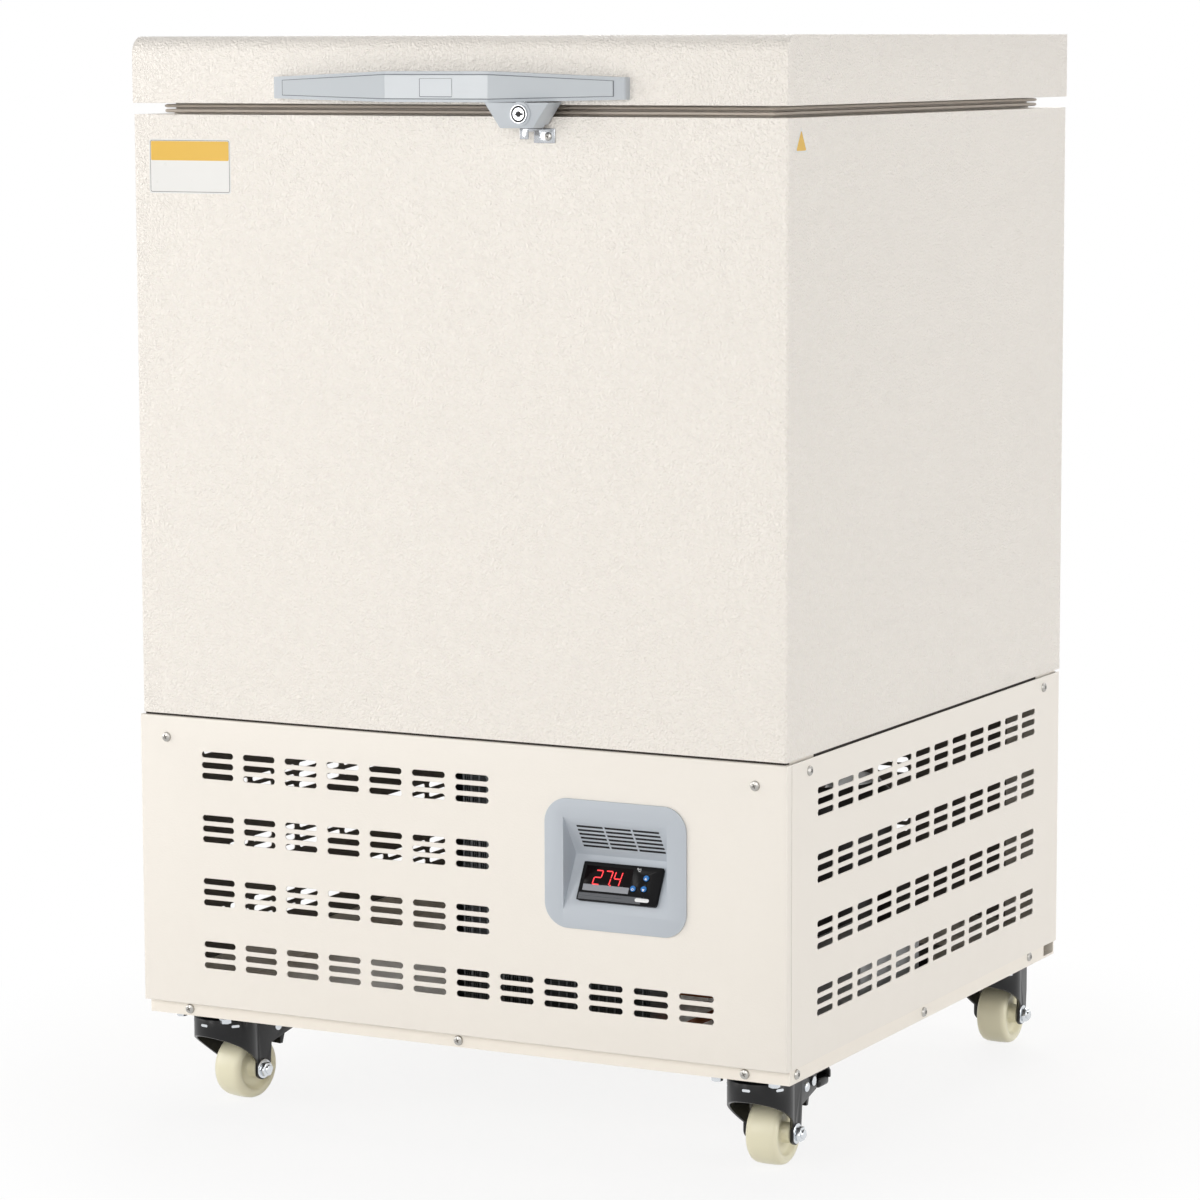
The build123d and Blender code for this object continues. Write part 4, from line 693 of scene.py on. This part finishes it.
seal_frame()
softened("lid_skin", 1.4 * mm, enamel, "lid", segments=3, over=50.0)
softened("lid_liner", 1.2 * mm, white_plastic, "lid", over=50.0)
softened("mouth_frame", 1.0 * mm, white_plastic, "cabinet", over=50.0)

plain = {
    "cabinet_shell": enamel, "cabinet_insulation": foam, "lid_insulation": foam, "inner_tank": stainless,
    "evaporator_coil": copper, "refrigerant_pipes": copper, "filter_drier": copper, "base_tray": chassis,
    "rear_rail": chassis, "corner_posts": chassis, "condenser": aluminium, "fan_shroud": black_paint,
    "fan_motor": aluminium, "fan_rotor": black_plastic, "compressor": black_paint,
    "compressor_mounts": mount_rubber, "electrical_box": box_paint, "hinge_pins": zinc, "lock_cam": zinc,
}
for name, material in plain.items():
    for held in nodes[name].material_slots:
        held.material = material


# Handle and lock

softened("handle_body", 1.2 * mm, grey_plastic, "lid", segments=3, over=25.0, hard=6.0)
softened("handle_fascia", 0.35 * mm, face_plastic, "lid", over=25.0, hard=6.0)
softened("lock_housing", 1.2 * mm, grey_plastic, "lid", over=30.0)
softened("strike_plate", 0.3 * mm, chrome, "cabinet", over=50.0)


def lock_face():
    """The lock cylinder: a bright disc in a groove, with dark pieces painted as the shade in the groove and in its
    key slot.
    """
    low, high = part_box("lock_plug")
    centre = ((low[0] + high[0]) / 2, low[1], (low[2] + high[2]) / 2)
    long = high[1] - low[1]
    ring_in, ring_out, ring_deep = 5.4 * mm, 7.0 * mm, 1.3 * mm
    line = 0.02 * mm  # between the dark ring and its groove
    place = facing(centre, (1, 0, 0))
    bm = bmesh.new()
    turned(bm, [(on_axis, 0.0), (5.3 * mm, 0.0), (ring_in, -0.1 * mm), (ring_in, -ring_deep),
                (ring_out, -ring_deep), (ring_out, -0.1 * mm), (7.1 * mm, 0.0), (7.7 * mm, 0.0),
                (7.95 * mm, -0.4 * mm), (7.95 * mm, -long), (on_axis, -long)], steps=64)
    bmesh.ops.transform(bm, matrix=place, verts=bm.verts)
    piece("lock_cylinder", bm, chrome, "lock", ("lock_plug",), hard=40.0)
    # a dark ring set into the groove: painted shade
    bm = bmesh.new()
    ring = [(ring_in + line, -0.1 * mm), (ring_out - line, -0.1 * mm), (ring_out - line, -0.9 * mm),
            (ring_in + line, -0.9 * mm)]
    turned(bm, ring + ring[:1], steps=64)
    # the key slot and its round end are dark flat pieces lying on the face: painted shade of the key way
    slot = bmesh.new()
    capsule(slot, 0.6 * mm, 0.0, 8.0 * mm, 1.9 * mm)
    filled(slot)
    thickened(slot, 0.2 * mm)
    bow = bmesh.new()
    turned(bow, [(on_axis, 0.1 * mm), (2.5 * mm, 0.1 * mm), (2.6 * mm, -0.1 * mm), (on_axis, -0.1 * mm)], steps=24)
    copied(bm, slot, [Matrix.Translation((0, 0, 0.12 * mm)) @ Matrix.Rotation(0.25, 4, "Z")])
    copied(bm, bow, [Matrix.Identity(4)])
    slot.free()
    bow.free()
    bmesh.ops.transform(bm, matrix=place, verts=bm.verts)
    piece("lock_painted_shade", bm, hole_shade_paint, "lock")


def fascia_shadow_line():
    """A dark copy of the handle's centre panel, a little larger and set behind it: a painted shadow line where the
    groove that the panel sits in would be.
    """
    bm = node_copy("handle_fascia")
    low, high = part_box("handle_fascia")
    centre = [(a + b) / 2 for a, b in zip(low, high)]
    wide, tall = high[0] - low[0], high[2] - low[2]
    bmesh.ops.translate(bm, vec=[-c for c in centre], verts=bm.verts)
    bmesh.ops.scale(bm, vec=((wide + 1.5 * mm) / wide, 1.0, (tall + 1.3 * mm) / tall), verts=bm.verts)
    bmesh.ops.translate(bm, vec=(centre[0], centre[1] + 0.6 * mm, centre[2]), verts=bm.verts)
    piece("fascia_shadow_line", bm, painted_shadow_line, "lid", hard=6.0)


def keeper_screw():
    """The screw that holds the keeper."""
    head = pan_head(3.6 * mm, 2.0 * mm)
    bm = bmesh.new()
    copied(bm, head, [facing((97.6 * mm, -311.5 * mm, 885.4 * mm), (1, 0, 0)) @ Matrix.Rotation(0.4, 4, "Z")])
    piece("keeper_screw", bm, screw_steel, "cabinet")
    head.free()


def bare_plate():
    """The thin blank plate set in the middle of the handle, over a dark outline painted as its shadow."""
    bm = bmesh.new()
    rounded(bm, 0, 0, 31.0 * mm, 15.0 * mm, 0.8 * mm)
    filled(bm)
    thickened(bm, 0.3 * mm)
    bmesh.ops.transform(bm, matrix=facing((3.0 * mm, -336.25 * mm, 926.4 * mm), (1, 0, 0)), verts=bm.verts)
    round_edges(bm, 0.1 * mm, 1)
    piece("handle_plate", bm, face_plastic, "lid")
    # a dark outline a little larger than the plate and shifted left and down: its painted shadow
    bm = bmesh.new()
    rounded(bm, -0.2 * mm, -0.2 * mm, 32.0 * mm, 16.0 * mm, 1.2 * mm)
    filled(bm)
    thickened(bm, 0.2 * mm)
    bmesh.ops.transform(bm, matrix=facing((3.0 * mm, -336.08 * mm, 926.4 * mm), (1, 0, 0)), verts=bm.verts)
    piece("handle_plate_shadow", bm, painted_shadow_line, "lid")


lock_face()
fascia_shadow_line()
keeper_screw()
bare_plate()


# Stickers, left blank

def label_layer(name, matrix, outlines, thick, material, body):
    """One printed layer of a label: rounded outlines, filled and lifted off the plane."""
    bm = bmesh.new()
    for sizes in outlines:
        rounded(bm, *sizes)
    filled(bm)
    thickened(bm, thick)
    bmesh.ops.transform(bm, matrix=matrix @ Matrix.Translation((0, 0, thick)), verts=bm.verts)
    piece(name, bm, material, body)


def sticker(name, matrix, width, height, corner, header, border):
    """A thin printed label: white with a coloured header and a thin dark border, and no words."""
    line = 0.4 * mm
    label_layer(name + "_paper", matrix, [(0, 0, width, height, corner)], 0.16 * mm, label_white, "cabinet")
    inner = (width - 2 * border, height - 2 * border)
    label_layer(name + "_border", matrix, [(0, 0, *inner, corner * 0.8),
                                           (0, 0, inner[0] - 2 * line, inner[1] - 2 * line, corner * 0.8 - line)],
                0.18 * mm, mark_black, "cabinet")
    label_layer(name + "_header", matrix, [(0, (height - header) / 2 - border - 2 * line,
                                            inner[0] - 4 * line, header, corner * 0.5)],
                0.18 * mm, label_amber, "cabinet")


sticker("front_sticker", facing((-261.5 * mm, -310.0 * mm, 856.5 * mm), (1, 0, 0)), 85.0 * mm, 48.0 * mm,
        2.5 * mm, 17.0 * mm, 1.2 * mm)


def side_sticker():
    """A small blank sticker with three sides: amber on a white edge."""
    place = facing((320.0 * mm, -285.0 * mm, 880.5 * mm), (0, 1, 0))
    for name, radius, thick, material in (("paper", 14.0, 0.16, label_white), ("face", 11.4, 0.18, label_amber)):
        bm = bmesh.new()
        bmesh.ops.create_circle(bm, cap_ends=True, segments=3, radius=radius * mm)
        bmesh.ops.bevel(bm, geom=bm.verts[:], offset=2.0 * mm, offset_type="OFFSET", affect="VERTICES",
                        segments=4, profile=0.5, material=-1)
        thickened(bm, thick * mm)
        bmesh.ops.transform(bm, matrix=place @ Matrix.Translation((0, 0, thick * mm)), verts=bm.verts)
        piece("side_sticker_" + name, bm, material, "cabinet")


side_sticker()


# Control bezel and controller

bezel_x, bezel_face, valley_y = 160.5, -314.45, -290.45
low_z, valley_z, top_z = 224.7, 269.7, 305.7
face_up = Vector((0, valley_y - bezel_face, valley_z - low_z)).normalized()
face_out = Vector((0, low_z - valley_z, valley_y - bezel_face)).normalized()
slope_centre = Vector((bezel_x, (bezel_face + valley_y) / 2, (low_z + valley_z) / 2)) * mm
grille_centre = Vector((bezel_x, (bezel_face + valley_y) / 2, (valley_z + top_z) / 2)) * mm


def on_face(x, y, lift):
    """The matrix of a drawing on the controller's slope, at x and y in mm, lifted off it."""
    right = Vector((1, 0, 0))
    centre = slope_centre + right * x * mm + face_up * y * mm + face_out * lift * mm
    return facing(centre, right, face_up)


def flat_piece(name, matrix, outlines, thick, material, body, edge=0.0):
    """A thin piece from flat outlines, lying on a plane."""
    bm = bmesh.new()
    for draw, *sizes in outlines:
        draw(bm, *[s * mm for s in sizes])
    filled(bm)
    thickened(bm, thick * mm)
    bmesh.ops.transform(bm, matrix=matrix, verts=bm.verts)
    if edge:
        round_edges(bm, edge * mm, 2, 50.0)
    return piece(name, bm, material, body)


softened("control_bezel", 0.5 * mm, bezel_plastic, "cabinet", over=40.0)


def controller_front():
    """The controller's case, with the corners of its face well rounded."""
    bm = node_copy("controller_case")
    ahead = slope_centre.dot(face_out)
    round_edges(bm, 2.6 * mm, 5, 60.0, lambda e: all(v.co.dot(face_out) > ahead - 1.0 * mm for v in e.verts)
                and abs((e.verts[0].co - e.verts[1].co).normalized().dot(face_out)) > 0.95
                and abs(e.verts[0].co.x - slope_centre.x) > 36.0 * mm)
    round_edges(bm, 0.5 * mm, 2, 50.0)
    piece("controller_shell", bm, gloss_black, "cabinet", ("controller_case",), hard=40.0)


controller_front()
# Dark bars set in the grille's slots: painted shade of the dark seen through them.
flat_piece("grille_slot_shade", facing(grille_centre, (1, 0, 0), (0, bezel_face - valley_y, top_z - valley_z))
           @ Matrix.Translation((0, 0, -0.1 * mm)),
           [(rectangle, x * 27.0, (row - 2.5) * 4.6, 24.98, 2.18) for x in (-1, 0, 1) for row in range(6)],
           0.3, hole_shade_paint, "cabinet")
softened("display_window", 0.2 * mm, window_red, "cabinet", over=40.0)
for key in ("up", "set", "down"):
    softened("button_" + key, 0.5 * mm, button_blue, "button_" + key, segments=3, over=50.0)


def segment_bar(bm, x, y, long, wide, turn):
    """One lit segment: a bar with pointed ends, leaning with the digits."""
    ring = bmesh.ops.create_circle(bm, cap_ends=True, segments=6, radius=wide / 2)["verts"]
    bmesh.ops.rotate(bm, verts=ring, cent=(0, 0, 0), matrix=Matrix.Rotation(math.pi / 6, 3, "Z"))
    half = (long - wide) / 2
    bmesh.ops.translate(bm, vec=(half, 0, 0), verts=[v for v in ring if v.co.x > 0.00001])
    bmesh.ops.translate(bm, vec=(-half, 0, 0), verts=[v for v in ring if v.co.x < -0.00001])
    bmesh.ops.rotate(bm, verts=ring, cent=(0, 0, 0), matrix=Matrix.Rotation(turn, 3, "Z"))
    bmesh.ops.translate(bm, vec=(x, y, 0), verts=ring)


def lit_digits():
    """The lit figures 27.4 in leaning seven-segment digits."""
    wide, tall, bar, lean = 6.4, 12.6, 1.15, 0.14
    segments = {"a": (0, tall / 2, 0), "b": (wide / 2, tall / 4, 1), "c": (wide / 2, -tall / 4, 1),
                "d": (0, -tall / 2, 0), "e": (-wide / 2, -tall / 4, 1), "f": (-wide / 2, tall / 4, 1),
                "g": (0, 0, 0)}
    shown = (("abged", -9.2), ("abc", 0.2), ("fgbc", 9.6))
    bm = bmesh.new()
    for letters, left in shown:
        for letter in letters:
            x, y, upright = segments[letter]
            segment_bar(bm, (left + x) * mm, y * mm, (tall / 2 if upright else wide) * mm * 0.94, bar * mm,
                        math.pi / 2 if upright else 0.0)
    segment_bar(bm, 4.9 * mm, -tall / 2 * mm, 1.5 * mm, 1.3 * mm, 0.0)
    for v in bm.verts:
        v.co.x += v.co.y * lean
    bmesh.ops.recalc_face_normals(bm, faces=bm.faces)
    for f in bm.faces:
        if f.normal.z < 0:
            f.normal_flip()
    thickened(bm, 0.1 * mm)
    bmesh.ops.transform(bm, matrix=on_face(-13.0, 4.9, 3.12), verts=bm.verts)
    piece("lit_digits", bm, segment_red, "cabinet")


lit_digits()
# A grey band painted across the display window as the glare of a reflection.
flat_piece("display_painted_glare", on_face(-12.5, -4.6, 3.1), [(rectangle, 0, 0, 44.0, 5.6)], 0.08, painted_glare_grey,
           "cabinet")
flat_piece("controller_strip", on_face(-7.0, -12.4, 3.1), [(rectangle, 0, 0, 60.0, 6.0)], 0.08, strip_grey,
           "cabinet")


def key_marks():
    """Small white marks on the three buttons, and the unit over them."""
    for key, x, y, turn in (("up", 23.8, 7.0, 0.0), ("down", 23.6, -2.7, math.pi), ("set", 13.4, -3.2, 0.0)):
        bm = bmesh.new()
        if key == "set":
            rounded(bm, 0, 0, 2.2 * mm, 2.2 * mm, 1.09 * mm)
            rounded(bm, 0, 0, 1.3 * mm, 1.3 * mm, 0.64 * mm)
            filled(bm)
        else:
            bmesh.ops.create_circle(bm, cap_ends=True, segments=3, radius=1.3 * mm)
            bmesh.ops.scale(bm, vec=(1.0, 1.15, 1.0), verts=bm.verts)
        thickened(bm, 0.12 * mm)
        bmesh.ops.transform(bm, matrix=on_face(x, y, 4.1) @ Matrix.Rotation(turn, 4, "Z"), verts=bm.verts)
        piece("key_mark_" + key, bm, mark_white, "button_" + key)
    bm = bmesh.new()
    ring = bmesh.new()
    turned(ring, [(0.45 * mm, 0.0), (0.75 * mm, 0.0), (0.75 * mm, -0.1 * mm), (0.45 * mm, -0.1 * mm),
                  (0.45 * mm, 0.0)], steps=16)
    copied(bm, ring, [Matrix.Translation((-1.5 * mm, 1.1 * mm, 0))])
    ring.clear()
    turned(ring, [(1.0 * mm, 0.0), (1.4 * mm, 0.0), (1.4 * mm, -0.1 * mm), (1.0 * mm, -0.1 * mm),
                  (1.0 * mm, 0.0)], steps=20, angle=math.radians(270))
    copied(bm, ring, [Matrix.Translation((0.6 * mm, 0, 0)) @ Matrix.Rotation(math.radians(45), 4, "Z")])
    ring.free()
    bmesh.ops.transform(bm, matrix=on_face(15.5, 14.6, 3.15), verts=bm.verts)
    piece("unit_mark", bm, mark_white, "cabinet")


key_marks()
flat_piece("controller_badge_place", on_face(24.0, -11.8, 3.2), [(capsule, 0, 0, 13.5, 3.4)], 0.2, mark_white,
           "cabinet", 0.05)


# Casters

wheel_centre = Vector((0, 26.0, 29.0)) * mm
fork_side = 22.0 * mm


def caster_matrix(corner):
    """The place and turn of a caster's own frame."""
    x = -271.0 if "left" in corner else 271.0
    y = -256.0 if "front" in corner else 262.0
    turn = math.radians(-10.0) if corner == "front_left" else 0.0
    return Matrix.Translation((x * mm, y * mm, 0)) @ Matrix.Rotation(turn, 4, "Z")


def wheel(corner):
    """Nylon wheel: crowned tread, dished sides, raised ring and long hub, spun in one outline."""
    outline = [(4.06, 19.1), (7.8, 19.1), (8.8, 18.4), (9.2, 11.0), (10.2, 9.9), (17.0, 9.5), (18.8, 10.4),
               (20.0, 13.4), (21.2, 14.6), (23.6, 14.8), (26.0, 14.2), (27.7, 12.6), (28.6, 10.0),
               (28.9, 6.0), (29.0, 0.0)]
    outline += [(r, -z) for r, z in reversed(outline[:-1])]
    outline.append(outline[0])
    bm = bmesh.new()
    turned(bm, [(r * mm, z * mm) for r, z in outline], steps=64)
    place = caster_matrix(corner) @ Matrix.Translation(wheel_centre) @ Matrix.Rotation(math.pi / 2, 4, "Y")
    bmesh.ops.transform(bm, matrix=place, verts=bm.verts)
    piece("wheel_nylon_" + corner, bm, nylon, "wheel_" + corner, ("wheel_" + corner,), hard=50.0)


def hex_bolts(corner):
    """Hex bolts and washers that hold the caster's plate to the tray."""
    bm = bmesh.new()
    turned(bm, [(on_axis, 0.0), (6.0 * mm, 0.0), (6.0 * mm, -1.2 * mm), (on_axis, -1.2 * mm)], steps=24)
    head = bmesh.new()
    bmesh.ops.create_cone(head, cap_ends=True, segments=6, radius1=5.0 * mm, radius2=5.0 * mm, depth=3.6 * mm,
                          matrix=Matrix.Translation((0, 0, -3.0 * mm)))
    bmesh.ops.bevel(head, geom=[e for e in head.edges if all(v.co.z < -4.0 * mm for v in e.verts)],
                    offset=0.5 * mm, offset_type="OFFSET", affect="EDGES", segments=2, profile=0.5, material=-1)
    copied(bm, head, [Matrix.Identity(4)])
    head.free()
    whole = bmesh.new()
    copied(whole, bm, [caster_matrix(corner) @ Matrix.Translation((x * mm, y * mm, 87.0 * mm))
                       for x in (-27, 27) for y in (-29.5, 29.5)])
    bm.free()
    piece("plate_bolts_" + corner, whole, zinc, "cabinet")


def race_glint_ovals(corner, body):
    """Small bright zinc ovals on the front of the fork's cup, standing in for the glints that show at its ball
    race.
    """
    oval = bmesh.new()
    capsule(oval, 0, 0, 7.6 * mm, 2.4 * mm)
    filled(oval)
    thickened(oval, 0.3 * mm)
    bm = bmesh.new()
    copied(bm, oval, [caster_matrix(corner) @ Matrix.Rotation(math.radians(turn), 4, "Z")
                      @ facing((0, -29.1 * mm, 76.2 * mm), (1, 0, 0)) for turn in (-60, 0, 60)])
    oval.free()
    piece("race_glint_ovals_" + corner, bm, zinc, body)


def pedal_pad(corner):
    """The thick rounded end of the brake pedal."""
    bm = bmesh.new()
    bmesh.ops.create_cube(bm, size=1.0, matrix=Matrix.Translation((0, 93.0 * mm, 60.0 * mm)) @ Matrix.Diagonal(
        (36.0 * mm, 21.0 * mm, 9.0 * mm, 1)))
    round_edges(bm, 3.2 * mm, 4, 60.0)
    bmesh.ops.transform(bm, matrix=caster_matrix(corner), verts=bm.verts)
    piece("pedal_pad_" + corner, bm, fork_paint, "brake_pedal_" + corner, hard=50.0)


def dome(radius, height):
    """A low rivet head, facing up."""
    bm = bmesh.new()
    turned(bm, [(on_axis, height), (radius * 0.55, height * 0.93), (radius * 0.88, height * 0.6),
                (radius, height * 0.1), (radius, 0.0), (on_axis, 0.0)], steps=20)
    return bm


def axle_washers(corner, body):
    """A flange washer under the nut of the axle, and rivets on the brake's ears."""
    bm = bmesh.new()
    ring = bmesh.new()
    turned(ring, [(4.1 * mm, 0.0), (8.6 * mm, 0.0), (8.9 * mm, 0.3 * mm), (8.9 * mm, 1.1 * mm),
                  (8.4 * mm, 1.5 * mm), (4.1 * mm, 1.5 * mm), (4.1 * mm, 0.0)], steps=32)
    across = (Matrix.Translation(wheel_centre + Vector((fork_side, 0, 0)))
              @ Matrix.Rotation(math.pi / 2, 4, "Y"))
    copied(bm, ring, [caster_matrix(corner) @ across])
    ring.free()
    if "front" in corner:
        head = dome(4.6 * mm, 1.7 * mm)
        for side in (-1, 1):
            copied(bm, head, [caster_matrix(corner)
                              @ Matrix.Translation((side * fork_side, 47.3 * mm, 65.5 * mm))
                              @ Matrix.Rotation(side * math.pi / 2, 4, "Y")])
        head.free()
    piece("axle_washers_" + corner, bm, zinc, body, hard=40.0)


for corner in ("front_left", "front_right", "rear_left", "rear_right"):
    body = "caster_" + corner
    axle_washers(corner, body)
    race_glint_ovals(corner, body)
    softened("fork_" + corner, 0.7 * mm, fork_paint, body, segments=2, over=30.0)
    softened("axle_" + corner, 0.5 * mm, zinc, body, segments=2, over=50.0)
    wheel(corner)
    hex_bolts(corner)
    if "front" in corner:
        pedal_pad(corner)
        softened("brake_pedal_" + corner, 0.7 * mm, fork_paint, "brake_pedal_" + corner,
                 over=40.0)
softened("caster_plates", 0.5 * mm, fork_paint, "cabinet", over=50.0)


# Hinges, inlet and switch

softened("hinge_bases", 0.8 * mm, enamel, "cabinet", over=50.0)
softened("hinge_arms", 0.8 * mm, enamel, "lid", over=50.0)
softened("power_inlet", 0.5 * mm, black_plastic, "cabinet", over=50.0)
softened("power_switch_frame", 0.5 * mm, black_plastic, "cabinet", over=50.0)
softened("power_rocker", 0.3 * mm, black_plastic, "power_rocker", over=50.0)


def hinge_screws():
    """Screws of the two hinge brackets and of their arms on the lid."""
    head = pan_head(4.0 * mm, 2.2 * mm)
    for name, body, places in (
            ("hinge_screws_cabinet", "cabinet",
             [(x + dx, 313.0, z) for x in (-200, 200) for dx in (-22, 22) for z in (852, 888)]),
            ("hinge_screws_lid", "lid",
             [(x + dx, 314.2, z) for x in (-200, 200) for dx in (-16.5, 16.5) for z in (924, 940)])):
        bm = bmesh.new()
        copied(bm, head, [facing((x * mm, y * mm, z * mm), (-1, 0, 0)) for x, y, z in places])
        piece(name, bm, screw_steel, body)
    head.free()


hinge_screws()
